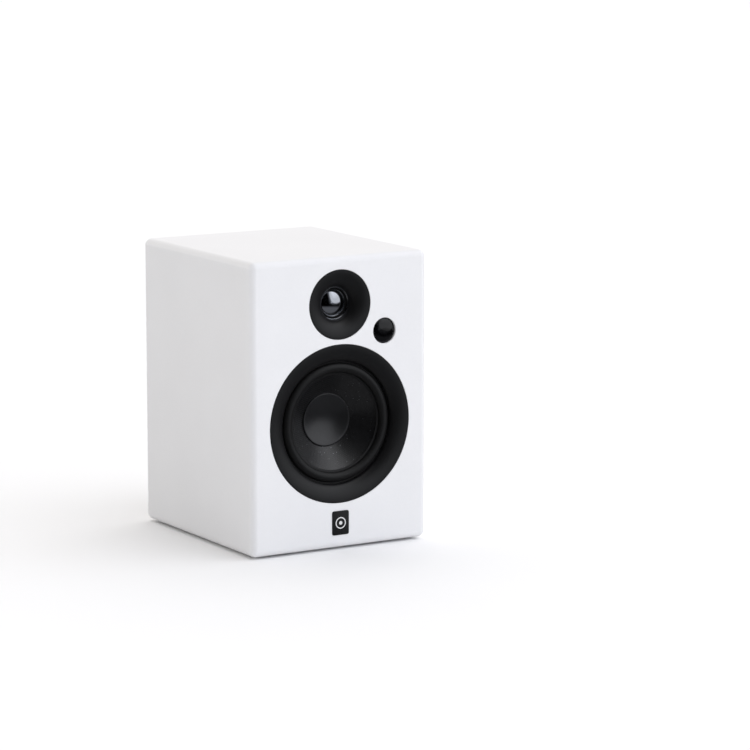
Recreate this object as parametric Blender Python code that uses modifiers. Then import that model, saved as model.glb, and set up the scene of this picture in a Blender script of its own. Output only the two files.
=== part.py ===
"""Powered two-way bookshelf speaker: a lacquered MDF cabinet, a woofer behind a deep trim ring, a dome
tweeter in a waveguide, a remote-control window, a badge, and an amplifier plate with controls and sockets.

Run it with: blender --background --python part.py

The frame: +Z is up and the front faces -Y. The origin is at the middle of the footprint, on the ground.
Lengths are metres. The profiles of turned pieces are written in millimetres, as (radius, depth) pairs.
Depth runs from the outer face of the baffle, or of the rear panel, into the cabinet.
"""

from collections import namedtuple
from math import asin, cos, pi, radians, sin

import bmesh
import bpy
from mathutils import Matrix, Vector

MM = 0.001

# Cabinet
WIDTH = 0.192
DEPTH = 0.216
HEIGHT = 0.280
EDGE_RADIUS = 0.0065
BAFFLE = 0.020
BOARD = 0.015
FOOT_HEIGHT = 0.002
FOOT_RADIUS = 0.009
FOOT_INSET = 0.024

# What stands proud of the front and of the rear of the cabinet
FRONT_REACH = 0.0006
REAR_REACH = 0.020

# Clearance between pieces that touch on the real speaker
GAP = 0.0003
# How far a cutter starts outside the face it cuts, and ends beyond it, in millimetres
OVERSHOOT = 2

FRONT = -(FRONT_REACH + DEPTH + REAR_REACH) / 2 + FRONT_REACH
BACK = FRONT + DEPTH
BASE = FOOT_HEIGHT

# Centres of what the front and the rear carry, as (x, z)
WOOFER = (0.0, BASE + 0.120)
TWEETER = (0.0, BASE + 0.2342)
WINDOW = (0.049, BASE + 0.2057)
BADGE = (0.0, BASE + 0.0244)
PORT = (0.0, BASE + 0.228)
AMP = (0.0, BASE + 0.100)

# The woofer's outer and visible radii, in millimetres
RING_RADIUS = 76.2
RING_MOUTH = 59.2
RING_DEPTH = 8.0
ROLL_RADIUS = 52.8
ROLL_HALF_WIDTH = 4.9
ROLL_HEIGHT = 4.2
CONE_RADIUS = 46.4
CONE_NECK = 16.0
CAP_RADIUS = 25.2
SCREW_CIRCLE = 65.2
SCREW_COUNT = 4

# The tweeter's radii, in millimetres
GUIDE_RADIUS = 33.3
GUIDE_THROAT = 15.2
GUIDE_DEPTH = 11.1
DOME_RADIUS = 12.4
DOME_HEIGHT = 3.6

# The bass port's bore, as a radius, and the depth of its flare, in millimetres
PORT_BORE = 18.0
PORT_FLARE = 15.0

# Amplifier plate
PLATE_WIDTH = 0.130
PLATE_HEIGHT = 0.150
PLATE_THICKNESS = 0.003
PLATE_CORNER = 0.006
AMP_OPENING = (0.112, 0.132)

# Places on the amplifier plate, as (x, z) from its centre
KNOB_AT = (0.036, 0.048)
BUTTON_AT = (0.012, 0.048)
LINE_IN_AT = (0.030, 0.018)
JACK_SPACING = 0.018
AUX_AT = (-0.002, 0.018)
OPTICAL_AT = (-0.026, 0.018)
POSTS_AT = {"red": (0.040, -0.014), "black": (0.021, -0.014)}
INLET_AT = (-0.028, -0.048)
SWITCH_AT = (0.024, -0.048)

OPTICAL_HINGE_Z = 0.0036
OPTICAL_HINGE_DEPTH = 0.001
ROCKER_PIVOT_DEPTH = 0.0025
ROCKER_TILT = radians(8)

# Sides of a round piece
LARGE = 32
MEDIUM = 22
SMALL = 14
TINY = 10
# Sides of a shaft and of the hole it turns in
RUNNING = 24

Face = namedtuple("Face", "y inward tilt")
FRONT_FACE = Face(FRONT, 1, pi / 2)
REAR_FACE = Face(BACK, -1, -pi / 2)
UPRIGHT = (pi / 2, 0, 0)
SIDEWAYS = (pi / 2, 0, pi / 2)


def clear_scene():
    """Removes what the startup file holds."""
    for obj in list(bpy.data.objects):
        bpy.data.objects.remove(obj)


def new_collection(name):
    """A collection in the scene."""
    collection = bpy.data.collections.new(name)
    bpy.context.scene.collection.children.link(collection)
    return collection


def finish(name, colour, roughness, metallic=0.0):
    """A Principled material. The colour is linear red, green and blue."""
    material = bpy.data.materials.new(name)
    material.use_nodes = True
    shader = material.node_tree.nodes["Principled BSDF"]
    shader.inputs["Base Color"].default_value = (*colour, 1.0)
    shader.inputs["Roughness"].default_value = roughness
    shader.inputs["Metallic"].default_value = metallic
    material.diffuse_color = (*colour, 1.0)
    return material


clear_scene()
PARTS = new_collection("bookshelf_speaker")
CUTTERS = new_collection("cutters")

LACQUER = finish("white_satin_lacquer", (0.84, 0.84, 0.85), 0.42)
RAW_MDF = finish("raw_mdf", (0.36, 0.22, 0.12), 0.85)
BLACK_ABS = finish("black_satin_abs", (0.018, 0.018, 0.019), 0.45)
RUBBER = finish("black_rubber", (0.015, 0.015, 0.015), 0.60)
CONE_WEAVE = finish("black_woven_cone", (0.016, 0.016, 0.018), 0.38)
STEEL = finish("zinc_plated_steel", (0.55, 0.55, 0.57), 0.35, 1.0)
DARK_STEEL = finish("black_passivated_steel", (0.05, 0.05, 0.055), 0.45, 0.6)
FERRITE = finish("ferrite", (0.03, 0.03, 0.032), 0.70)
COPPER = finish("enamelled_copper", (0.60, 0.22, 0.10), 0.35, 1.0)
SPIDER_CLOTH = finish("phenolic_cloth", (0.55, 0.38, 0.10), 0.80)
SILVER_DOME = finish("anodised_aluminium_dome", (0.62, 0.64, 0.68), 0.14, 1.0)
GLOSS_BLACK = finish("gloss_black_acrylic", (0.006, 0.006, 0.007), 0.06)
BLACK_PLATE = finish("black_anodised_aluminium", (0.022, 0.022, 0.024), 0.50, 0.6)
CIRCUIT_BOARD = finish("green_circuit_board", (0.02, 0.14, 0.06), 0.50)
BARE_ALUMINIUM = finish("bare_aluminium", (0.75, 0.75, 0.77), 0.35, 1.0)
BRASS = finish("gold_plated_brass", (0.85, 0.60, 0.22), 0.22, 1.0)
RED_PLASTIC = finish("red_plastic", (0.45, 0.01, 0.01), 0.30)
BLACK_PLASTIC = finish("black_plastic", (0.012, 0.012, 0.012), 0.40)
WADDING = finish("polyester_wadding", (0.75, 0.74, 0.70), 0.95)
WIRE_SHEATH = finish("wire_sheath", (0.30, 0.02, 0.02), 0.45)


def add(name, data, material, helper=False):
    """Links a new object. A helper is a cutter, or a shape joined to another, and is never a piece."""
    obj = bpy.data.objects.new(name, data)
    (CUTTERS if helper else PARTS).objects.link(obj)
    if helper:
        obj.hide_render = True
        obj.display_type = "WIRE"
    else:
        data.materials.append(material)
    return obj


def turned(name, profile, material, axis, face, sides=MEDIUM, helper=False):
    """A piece turned about an axis that runs front to back.

    The profile goes down the outer side, from shallow to deep, and back up the inner side. It closes on
    itself, unless it starts and ends on the axis. `axis` is the (x, z) of the axis.
    """
    mesh = bpy.data.meshes.new(name)
    points = [(radius * MM, 0.0, -depth * MM) for radius, depth in profile]
    edges = [(i, i + 1) for i in range(len(points) - 1)]
    if profile[0][0] > 0:
        edges.append((len(points) - 1, 0))
    mesh.from_pydata(points, edges, [])
    obj = add(name, mesh, material, helper)
    obj.location = (axis[0], face.y, axis[1])
    obj.rotation_euler = (face.tilt, 0, 0)
    screw = obj.modifiers.new("turn", "SCREW")
    screw.steps = screw.render_steps = sides
    screw.use_merge_vertices = True
    screw.merge_threshold = 0.00001
    screw.use_smooth_shade = True
    return obj


def boxed(name, size, centre, material, bevel=0.0, steps=2, rotation=(0, 0, 0), helper=False):
    """A box with its edges rounded by `bevel`."""
    mesh = bpy.data.meshes.new(name)
    solid = bmesh.new()
    bmesh.ops.create_cube(solid, size=1.0, matrix=Matrix.Diagonal((*size, 1.0)))
    solid.to_mesh(mesh)
    solid.free()
    obj = add(name, mesh, material, helper)
    obj.location = centre
    obj.rotation_euler = rotation
    if bevel:
        rounding = obj.modifiers.new("rounded_edges", "BEVEL")
        rounding.width = bevel
        rounding.segments = steps
    return obj


def behind(face, axis, offset, depth):
    """The point at `offset` (x, z) from an axis and at a depth behind a face."""
    return (axis[0] + offset[0], face.y + face.inward * depth, axis[1] + offset[1])


def rear_box(name, size, at, shallow, deep, material, bevel=0.0, helper=False):
    """A box on the amplifier plate, `size` (width, height), from one depth to another."""
    centre = behind(REAR_FACE, AMP, at, (shallow + deep) / 2)
    return boxed(name, (size[0], deep - shallow, size[1]), centre, material, bevel, helper=helper)


def flat(name, outlines, thickness, material, centre, rotation, helper=False):
    """A flat solid with the given outlines, the first outside and any others as holes, made a mesh."""
    curve = bpy.data.curves.new(name, "CURVE")
    curve.dimensions = "2D"
    curve.fill_mode = "BOTH"
    curve.extrude = thickness / 2
    for outline in outlines:
        spline = curve.splines.new("POLY")
        spline.points.add(len(outline) - 1)
        for point, (x, y) in zip(spline.points, outline):
            point.co = (x, y, 0, 1)
        spline.use_cyclic_u = True
    drawn = bpy.data.objects.new(name + "_outline", curve)
    CUTTERS.objects.link(drawn)
    graph = bpy.context.evaluated_depsgraph_get()
    mesh = bpy.data.meshes.new_from_object(drawn.evaluated_get(graph))
    bpy.data.objects.remove(drawn)
    welded = bmesh.new()
    welded.from_mesh(mesh)
    bmesh.ops.remove_doubles(welded, verts=welded.verts, dist=0.00001)
    welded.to_mesh(mesh)
    welded.free()
    mesh.materials.clear()
    obj = add(name, mesh, material, helper)
    obj.location = centre
    obj.rotation_euler = rotation
    return obj


def rounded_rectangle(width, height, radius, steps=3):
    """The outline of a rectangle with round corners, centred on the origin."""
    outline = []
    for corner, (sx, sy) in enumerate(((1, 1), (-1, 1), (-1, -1), (1, -1))):
        for i in range(steps + 1):
            angle = pi / 2 * (corner + i / steps)
            outline.append(
                (
                    sx * (width / 2 - radius) + radius * cos(angle),
                    sy * (height / 2 - radius) + radius * sin(angle),
                )
            )
    return outline


def boolean(obj, other, operation):
    """Adds a Boolean with another object, which keeps the EXACT solver that is the default."""
    modifier = obj.modifiers.new(other.name, "BOOLEAN")
    modifier.operation = operation
    modifier.object = other
    return obj


def cut(obj, *cutters):
    """Takes the cutters out of an object."""
    for cutter in cutters:
        boolean(obj, cutter, "DIFFERENCE")
    return obj


def join(obj, *others):
    """Adds the other shapes to an object."""
    for other in others:
        boolean(obj, other, "UNION")
    return obj


def rod(name, radius, axis, face, shallow, deep, sides=SMALL, material=None):
    """A cylinder across a face, made to cut with or to join."""
    profile = [(0, shallow), (radius, shallow), (radius, deep), (0, deep)]
    return turned(name, profile, material, axis, face, sides, helper=True)


def stepped_hole(name, steps, axis, face, sides):
    """A cutter that narrows as it goes in: `steps` are the (radius, depth) that each step goes down to."""
    profile = [(0, -OVERSHOOT), (steps[0][0], -OVERSHOOT)]
    for (radius, depth), (narrower, _) in zip(steps, [*steps[1:], (0, 0)]):
        profile += [(radius, depth), (narrower, depth)]
    return turned(name, profile, None, axis, face, sides, helper=True)


def cross_pin(name, radius, length, centre):
    """A cylinder from side to side, made to join to a piece that swings or to cut its bearing holes."""
    mesh = bpy.data.meshes.new(name)
    solid = bmesh.new()
    bmesh.ops.create_cone(
        solid,
        cap_ends=True,
        segments=SMALL,
        radius1=radius,
        radius2=radius,
        depth=length,
        matrix=Matrix.Rotation(pi / 2, 4, "Y"),
    )
    solid.to_mesh(mesh)
    solid.free()
    pin = add(name, mesh, None, helper=True)
    pin.location = centre
    return pin


def quarter_flare(mouth, depth, rim, steps):
    """A quarter ellipse from the mouth, where it is steep, out to the rim, where it lies flat."""
    return [
        (rim - (rim - mouth) * cos(pi / 2 * i / steps), depth * (1 - sin(pi / 2 * i / steps)))
        for i in range(steps + 1)
    ]


def on_plate(at):
    """The (x, z) of a place on the amplifier plate."""
    return (AMP[0] + at[0], AMP[1] + at[1])


# Cabinet --------------------------------------------------------------------------------------------------


def rounded_slab(name, face, thickness):
    """A full-size end board: its outer edges and its four corners are round, and its inner face is flat."""
    mesh = bpy.data.meshes.new(name)
    solid = bmesh.new()
    size = (WIDTH, 4 * thickness, HEIGHT)
    bmesh.ops.create_cube(solid, size=1.0, matrix=Matrix.Diagonal((*size, 1.0)))
    bmesh.ops.bevel(
        solid,
        geom=solid.edges[:],
        offset=EDGE_RADIUS,
        segments=4,
        profile=0.5,
        affect="EDGES",
    )
    outer = -face.inward * 2 * thickness
    cut_at = outer + face.inward * thickness
    bmesh.ops.bisect_plane(
        solid,
        geom=solid.verts[:] + solid.edges[:] + solid.faces[:],
        plane_co=(0, cut_at, 0),
        plane_no=(0, face.inward, 0),
        clear_outer=True,
    )
    bmesh.ops.holes_fill(solid, edges=[e for e in solid.edges if e.is_boundary])
    bmesh.ops.recalc_face_normals(solid, faces=solid.faces)
    bmesh.ops.translate(solid, verts=solid.verts, vec=(0, -outer, 0))
    solid.to_mesh(mesh)
    solid.free()
    obj = add(name, mesh, LACQUER)
    obj.location = (0, face.y, BASE + HEIGHT / 2)
    return obj


def make_front_baffle():
    """Holes for both drivers and the window, each with the step for its flange, and a badge pocket."""
    baffle = rounded_slab("front_baffle", FRONT_FACE, BAFFLE)
    through = BAFFLE / MM + OVERSHOOT
    for name, steps, axis, sides in (
        ("woofer_hole", [(76.5, 3.3), (68.4, 12.6), (62.5, through)], WOOFER, LARGE),
        ("tweeter_hole", [(33.6, 3.3), (24.7, through)], TWEETER, MEDIUM),
        ("window_hole", [(12.6, 6.3), (9.0, through)], WINDOW, SMALL),
    ):
        cut(baffle, stepped_hole(name, steps, axis, FRONT_FACE, sides))
    for i, axis in enumerate(screw_places()):
        cut(baffle, rod(f"pilot_hole_{i + 1}", 1.8, axis, FRONT_FACE, 11, through, 8))
    pocket = boxed(
        "badge_pocket",
        (0.0188, 0.004, 0.0238),
        behind(FRONT_FACE, BADGE, (0, 0), 0.0009 - 0.002),
        None,
        helper=True,
    )
    return cut(baffle, pocket)


def make_rear_panel():
    """Holes for the bass port and the amplifier plate, each with the step that its flange sits in."""
    panel = rounded_slab("rear_panel", REAR_FACE, BOARD)
    through = BOARD / MM + OVERSHOOT
    step = PLATE_THICKNESS + GAP
    return cut(
        panel,
        stepped_hole("port_hole", [(31.4, 2.3), (23.6, through)], PORT, REAR_FACE, MEDIUM),
        flat(
            "plate_step",
            [rounded_rectangle(PLATE_WIDTH + 2 * GAP, PLATE_HEIGHT + 2 * GAP, PLATE_CORNER)],
            0.004 + step,
            None,
            behind(REAR_FACE, AMP, (0, 0), (step - 0.004) / 2),
            UPRIGHT,
            helper=True,
        ),
        rear_box("plate_opening", AMP_OPENING, (0, 0), 0.0, BOARD + 0.002, None, helper=True),
    )


def wall_outline(length, height):
    """A wall board seen from the end: mitred ends, and half of each round corner of the cabinet.

    The board's outer face is at y = height / 2, and `length` is the cabinet's size along the board.
    """
    outline = []
    trim = GAP * 0.75
    for side in (1, -1):
        centre = (side * (length / 2 - EDGE_RADIUS - trim), height / 2 - EDGE_RADIUS)
        angles = (pi / 4, 3 * pi / 8, pi / 2) if side > 0 else (pi / 2, 5 * pi / 8, 3 * pi / 4)
        outline += [(centre[0] + EDGE_RADIUS * cos(a), centre[1] + EDGE_RADIUS * sin(a)) for a in angles]
    inner = height / 2 - BOARD
    outline += [(-(length / 2 - BOARD - trim), inner), (length / 2 - BOARD - trim, inner)]
    return outline


def make_walls():
    """Top, bottom and two sides, mitred together between the baffle and the rear panel."""
    length = DEPTH - BAFFLE - BOARD - 2 * GAP
    middle = (0, FRONT + BAFFLE + GAP + length / 2, BASE + HEIGHT / 2)
    for name, across, height, turn in (
        ("top_panel", WIDTH, HEIGHT, 0),
        ("left_panel", HEIGHT, WIDTH, -pi / 2),
        ("bottom_panel", WIDTH, HEIGHT, pi),
        ("right_panel", HEIGHT, WIDTH, pi / 2),
    ):
        flat(name, [wall_outline(across, height)], length, LACQUER, middle, (pi / 2, turn, 0))


def make_brace():
    """A shelf with a window in it, between the drivers, that ties the four walls together."""
    width = WIDTH - 2 * BOARD - 2 * GAP
    length = DEPTH - BAFFLE - BOARD - 2 * GAP
    rail = 0.024
    centre = (0, FRONT + BAFFLE + GAP + length / 2, BASE + 0.187)
    window = rounded_rectangle(width - 2 * rail, length - 2 * rail, 0.012)
    outer = rounded_rectangle(width, length, 0.001, 1)
    flat("window_brace", [outer, window], 0.008, RAW_MDF, centre, (0, 0, 0))


def make_damping_liner():
    """One folded sheet of wadding against the two sides and the bottom."""
    half = WIDTH / 2 - BOARD - 0.0005
    low = BASE + BOARD + 0.0005
    high = BASE + 0.180
    thick = 0.010
    outline = [
        (half, high),
        (half - thick, high),
        (half - thick, low + thick),
        (thick - half, low + thick),
        (thick - half, high),
        (-half, high),
        (-half, low),
        (half, low),
    ]
    flat("damping_liner", [outline], 0.140, WADDING, (0, FRONT + 0.096, 0), UPRIGHT)


def make_bass_port():
    """A plastic reflex port: flared mouth, straight tube, and a small flare at its inner end."""
    flange = [(31.0, 0.0), (31.0, 2.0), (23.2, 2.0)]
    tube = [(20.4, 13.0), (20.4, 92.0)]
    inner_flare = [(23.0, 99.0), (22.0, 99.6), (PORT_BORE, 91.0)]
    flare = quarter_flare(PORT_BORE, PORT_FLARE, 30.4, 4)
    turned("bass_port", flange + tube + inner_flare + flare, BLACK_ABS, PORT, REAR_FACE, MEDIUM)


def make_feet():
    """Four thin rubber pads."""
    for depth_name, y in (("front", FRONT + FOOT_INSET), ("rear", BACK - FOOT_INSET)):
        for side_name, side in (("left", -1), ("right", 1)):
            mesh = bpy.data.meshes.new("foot")
            pad = bmesh.new()
            bmesh.ops.create_cone(
                pad,
                cap_ends=True,
                segments=SMALL,
                radius1=FOOT_RADIUS - 0.0006,
                radius2=FOOT_RADIUS,
                depth=FOOT_HEIGHT - GAP,
            )
            pad.to_mesh(mesh)
            pad.free()
            foot = add(f"foot_{depth_name}_{side_name}", mesh, RUBBER)
            foot.location = (side * (WIDTH / 2 - FOOT_INSET), y, (FOOT_HEIGHT - GAP) / 2)


# Woofer ---------------------------------------------------------------------------------------------------


def screw_places():
    """The (x, z) of each screw that holds the woofer."""
    return [
        (WOOFER[0] + SCREW_CIRCLE * MM * cos(a), WOOFER[1] + SCREW_CIRCLE * MM * sin(a))
        for a in (pi / 4 + 2 * pi * i / SCREW_COUNT for i in range(SCREW_COUNT))
    ]


def roll(half_width, height, base, steps=4):
    """The half roll of the surround, from its inner foot over the crest to its outer foot."""
    return [
        (ROLL_RADIUS - half_width * cos(pi * i / steps), base - height * sin(pi * i / steps))
        for i in range(steps + 1)
    ]


def make_trim_ring():
    """The deep ring: a flare from its flush rim to the mouth, and a stepped back that clears the screws."""
    back = [(RING_RADIUS, 0.4), (RING_RADIUS, 3.0), (68.0, 3.0), (66.0, 4.6), (62.2, 7.2), (61.2, 9.2)]
    mouth = [(RING_MOUTH, 9.2)]
    flare = quarter_flare(RING_MOUTH, RING_DEPTH, RING_RADIUS - 0.6, 5)
    turned("woofer_trim_ring", back + mouth + flare, BLACK_ABS, WOOFER, FRONT_FACE, LARGE)


def make_basket():
    """A pressed steel chassis: flange, six spokes round open windows, spider ledge, and motor seat."""
    profile = [
        (68.0, 10.3),
        (68.0, 12.3),
        (61.5, 12.3),
        (60.0, 15.0),
        (47.0, 39.0),
        (46.0, 40.5),
        (40.0, 40.5),
        (40.0, 50.0),
        (17.5, 50.0),
        (17.5, 48.5),
        (38.5, 48.5),
        (38.5, 39.0),
        (45.2, 39.0),
        (58.5, 14.5),
        (58.5, 10.3),
    ]
    basket = turned("woofer_basket", profile, DARK_STEEL, WOOFER, FRONT_FACE, LARGE)
    for i, axis in enumerate(screw_places()):
        cut(basket, rod(f"flange_hole_{i + 1}", 1.8, axis, FRONT_FACE, 9, 14, 8))
    windows = 6
    for i in range(windows):
        angle = 2 * pi * i / windows
        place = (0.058 * sin(angle), 0.058 * cos(angle))
        cut(
            basket,
            boxed(
                f"basket_window_{i + 1}",
                (0.034, 0.020, 0.032),
                behind(FRONT_FACE, WOOFER, place, 0.0265),
                None,
                rotation=(0, angle, 0),
                helper=True,
            ),
        )


def make_woofer_motor():
    """Front plate, ferrite ring, and a T-yoke with a vented pole."""
    top_plate = [(40.0, 50.3), (40.0, 55.3), (16.1, 55.3), (16.1, 50.3)]
    magnet = [(42.5, 55.6), (42.5, 69.6), (22.0, 69.6), (22.0, 55.6)]
    yoke = [(39.0, 69.9), (39.0, 75.9), (5.0, 75.9), (5.0, 50.5), (14.1, 50.5), (14.1, 69.9)]
    turned("woofer_top_plate", top_plate, STEEL, WOOFER, FRONT_FACE)
    turned("woofer_magnet", magnet, FERRITE, WOOFER, FRONT_FACE)
    turned("woofer_yoke", yoke, STEEL, WOOFER, FRONT_FACE)


def make_woofer_screws():
    """Four screws that hold the chassis to the baffle, under the trim ring."""
    profile = [(0, 8.2), (1.9, 8.2), (2.7, 9.3), (2.7, 10.0), (1.5, 10.0), (1.5, 18.0), (0, 19.6)]
    for i, axis in enumerate(screw_places()):
        turned(f"woofer_screw_{i + 1}", profile, DARK_STEEL, axis, FRONT_FACE, TINY)


def make_woofer_diaphragm():
    """Surround, cone, dished dust cap, voice coil and spider: all that moves with the cone."""
    base = 9.9
    rubber = 0.6
    underside = roll(ROLL_HALF_WIDTH - rubber, ROLL_HEIGHT - rubber, base)[::-1]
    surround = [(61.5, 9.5), (61.5, 10.0)] + underside + [(45.9, 10.6), (45.9, 10.1)]
    surround += roll(ROLL_HALF_WIDTH, ROLL_HEIGHT, base - 0.3)
    turned("woofer_surround", surround, RUBBER, WOOFER, FRONT_FACE, LARGE)

    neck = 33.4
    lip = [(48.5, 10.9), (48.5, 11.7), (46.9, 11.8)]
    throat = [(17.0, 34.2), (CONE_NECK, 34.2), (CONE_NECK, neck), (CONE_RADIUS, 10.9)]
    turned("woofer_cone", lip + throat, CONE_WEAVE, WOOFER, FRONT_FACE, LARGE)

    rim, dish, wall, steps = 25.3, 4.9, 0.7, 3
    radii = [CAP_RADIUS * i / steps for i in range(steps + 1)]
    outside = [(r, rim + dish * (1 - (r / CAP_RADIUS) ** 2)) for r in radii]
    inside = [(r, depth + wall) for r, depth in reversed(outside)]
    turned("woofer_dust_cap", outside + inside, RUBBER, WOOFER, FRONT_FACE)

    coil = [(15.5, 31.8), (15.5, 60.0), (14.7, 60.0), (14.7, 31.8)]
    turned("woofer_voice_coil", coil, COPPER, WOOFER, FRONT_FACE)

    inner, outer, middle, wave, cloth, folds = 15.9, 43.4, 37.3, 0.9, 0.5, 6
    ripple = [
        (outer - (outer - inner) * i / folds, middle + (wave if i % 2 else -wave) * (0 < i < folds))
        for i in range(folds + 1)
    ]
    spider = [(r, depth + cloth) for r, depth in ripple] + ripple[::-1]
    turned("woofer_spider", spider, SPIDER_CLOTH, WOOFER, FRONT_FACE)


# Tweeter --------------------------------------------------------------------------------------------------


def make_waveguide():
    """The horn, flush at its rim, and the tube behind it that the motor is glued to."""
    flange = [(GUIDE_RADIUS, 0.4), (GUIDE_RADIUS, 3.0), (24.3, 3.0)]
    tube = [(24.3, 16.7), (15.8, 16.7), (15.8, 11.9), (GUIDE_THROAT, 11.6)]
    flare = quarter_flare(GUIDE_THROAT, GUIDE_DEPTH, GUIDE_RADIUS - 0.6, 5)
    turned("tweeter_waveguide", flange + tube + flare, BLACK_ABS, TWEETER, FRONT_FACE, MEDIUM)


def make_tweeter_diaphragm():
    """Metal dome, soft surround and voice coil."""
    apex, foil = 10.0, 0.5
    sphere = (DOME_RADIUS**2 + DOME_HEIGHT**2) / (2 * DOME_HEIGHT)
    middle = apex + sphere
    steps = 4
    angles = [asin(DOME_RADIUS / sphere) * i / steps for i in range(steps + 1)]
    outside = [(sphere * sin(a), middle - sphere * cos(a)) for a in angles]
    inside = [((sphere - foil) * sin(a), middle - (sphere - foil) * cos(a)) for a in reversed(angles)]
    turned("tweeter_dome", outside + inside, SILVER_DOME, TWEETER, FRONT_FACE)

    surround = [
        (15.5, 13.4),
        (15.5, 13.9),
        (14.5, 13.9),
        (13.7, 13.2),
        (12.8, 13.9),
        (12.8, 13.4),
        (13.7, 12.6),
        (14.5, 13.4),
    ]
    turned("tweeter_surround", surround, RUBBER, TWEETER, FRONT_FACE)
    coil = [(12.4, 14.5), (12.4, 21.5), (11.9, 21.5), (11.9, 14.5)]
    turned("tweeter_voice_coil", coil, COPPER, TWEETER, FRONT_FACE)


def make_tweeter_motor():
    """Front plate, magnet, and a yoke with a vented pole."""
    top_plate = [(24.0, 17.0), (24.0, 20.0), (13.1, 20.0), (13.1, 17.0)]
    magnet = [(21.0, 20.3), (21.0, 25.3), (14.5, 25.3), (14.5, 20.3)]
    yoke = [(22.0, 25.6), (22.0, 29.6), (3.0, 29.6), (3.0, 17.5), (11.5, 17.5), (11.5, 25.6)]
    turned("tweeter_top_plate", top_plate, STEEL, TWEETER, FRONT_FACE)
    turned("tweeter_magnet", magnet, STEEL, TWEETER, FRONT_FACE)
    turned("tweeter_yoke", yoke, STEEL, TWEETER, FRONT_FACE)


# Front window and badge -----------------------------------------------------------------------------------


def make_window():
    """A slightly crowned lens, and the remote-control receiver's board behind the baffle."""
    crown = -FRONT_REACH / MM
    lens = [(0, crown), (6.0, crown + 0.2), (11.2, 0.1), (12.25, 0.8), (12.25, 6.0), (0, 6.0)]
    turned("remote_window", lens, GLOSS_BLACK, WINDOW, FRONT_FACE, 24)
    board_depth = BAFFLE + GAP + 0.0008
    board = boxed(
        "receiver_board",
        (0.030, 0.0016, 0.022),
        behind(FRONT_FACE, WINDOW, (0, 0), board_depth),
        CIRCUIT_BOARD,
    )
    eye = boxed(
        "receiver_eye",
        (0.007, 0.006, 0.008),
        behind(FRONT_FACE, WINDOW, (0, 0), board_depth - 0.0032),
        None,
        helper=True,
    )
    join(board, eye)


def make_badge():
    """A plain rounded badge, let into the baffle and standing just proud of it."""
    centre = behind(FRONT_FACE, BADGE, (0, 0), 0.0)
    flat("badge", [rounded_rectangle(0.0182, 0.0232, 0.0018)], 2 * FRONT_REACH, BLACK_ABS, centre, UPRIGHT)


# Amplifier ------------------------------------------------------------------------------------------------


def make_amp_plate():
    """The rear plate, with a hole for each thing that it carries."""
    plate = flat(
        "amp_plate",
        [rounded_rectangle(PLATE_WIDTH, PLATE_HEIGHT, PLATE_CORNER)],
        PLATE_THICKNESS,
        BLACK_PLATE,
        behind(REAR_FACE, AMP, (0, 0), PLATE_THICKNESS / 2),
        UPRIGHT,
    )
    round_holes = {
        "knob_hole": (3.9, KNOB_AT),
        "button_hole": (3.4, BUTTON_AT),
        "aux_hole": (3.4, AUX_AT),
        "line_hole_1": (4.6, (LINE_IN_AT[0] - JACK_SPACING / 2, LINE_IN_AT[1])),
        "line_hole_2": (4.6, (LINE_IN_AT[0] + JACK_SPACING / 2, LINE_IN_AT[1])),
        "post_hole_1": (4.4, POSTS_AT["red"]),
        "post_hole_2": (4.4, POSTS_AT["black"]),
    }
    for name, (radius, at) in round_holes.items():
        cut(plate, rod(name, radius, on_plate(at), REAR_FACE, -2, 5))
    for name, size, at in (
        ("inlet_hole", (0.0270, 0.0190), INLET_AT),
        ("switch_hole", (0.0132, 0.0192), SWITCH_AT),
        ("optical_hole", (0.0136, 0.0116), OPTICAL_AT),
    ):
        cut(plate, rear_box(name, size, at, -0.002, 0.005, None, helper=True))


def make_amp_board():
    """The main circuit board on four stand-offs, with a heat sink and a ring-core transformer."""
    board = rear_box("amp_board", (0.104, 0.118), (0, 0), 0.0205, 0.0221, CIRCUIT_BOARD)
    for i, (sx, sz) in enumerate(((1, 1), (1, -1), (-1, -1), (-1, 1))):
        corner = (AMP[0] + sx * 0.048, AMP[1] + sz * 0.055)
        join(board, rod(f"standoff_{i + 1}", 2.5, corner, REAR_FACE, 3.3, 21, 8))

    fins, pitch, fin, root, length = 6, 0.009, 0.003, 0.005, 0.026
    comb = [(0, 0)]
    for i in range(fins):
        comb += [(i * pitch, length), (i * pitch + fin, length)]
        if i < fins - 1:
            comb += [(i * pitch + fin, root), ((i + 1) * pitch, root)]
    comb.append(((fins - 1) * pitch + fin, 0))
    comb = [(x, -y) for x, y in comb]
    place = behind(REAR_FACE, AMP, (-0.046, 0.034), 0.0224)
    flat("heat_sink", [comb[::-1]], 0.036, BARE_ALUMINIUM, place, (0, 0, 0))

    core = [(21.0, 22.4), (23.0, 24.4), (23.0, 40.4), (21.0, 42.4), (9.0, 42.4), (9.0, 22.4)]
    turned("mains_transformer", core, COPPER, on_plate((-0.022, -0.034)), REAR_FACE, 24)


def make_mains_inlet():
    """A three-pin mains inlet: flange, body, and a recess with its pins moulded in."""
    inlet = rear_box("mains_inlet", (0.0264, 0.0184), INLET_AT, -0.0010, 0.018, BLACK_PLASTIC)
    join(inlet, rear_box("inlet_flange", (0.0300, 0.0240), INLET_AT, -0.002, -GAP, None, helper=True))
    cut(inlet, rear_box("inlet_recess", (0.0236, 0.0156), INLET_AT, -0.004, 0.014, None, helper=True))
    for i, offset in enumerate(((-0.007, -0.002), (0.007, -0.002), (0.0, 0.002))):
        place = (INLET_AT[0] + offset[0], INLET_AT[1] + offset[1])
        join(inlet, rear_box(f"inlet_pin_{i + 1}", (0.002, 0.004), place, 0.001, 0.015, None, helper=True))


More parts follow.
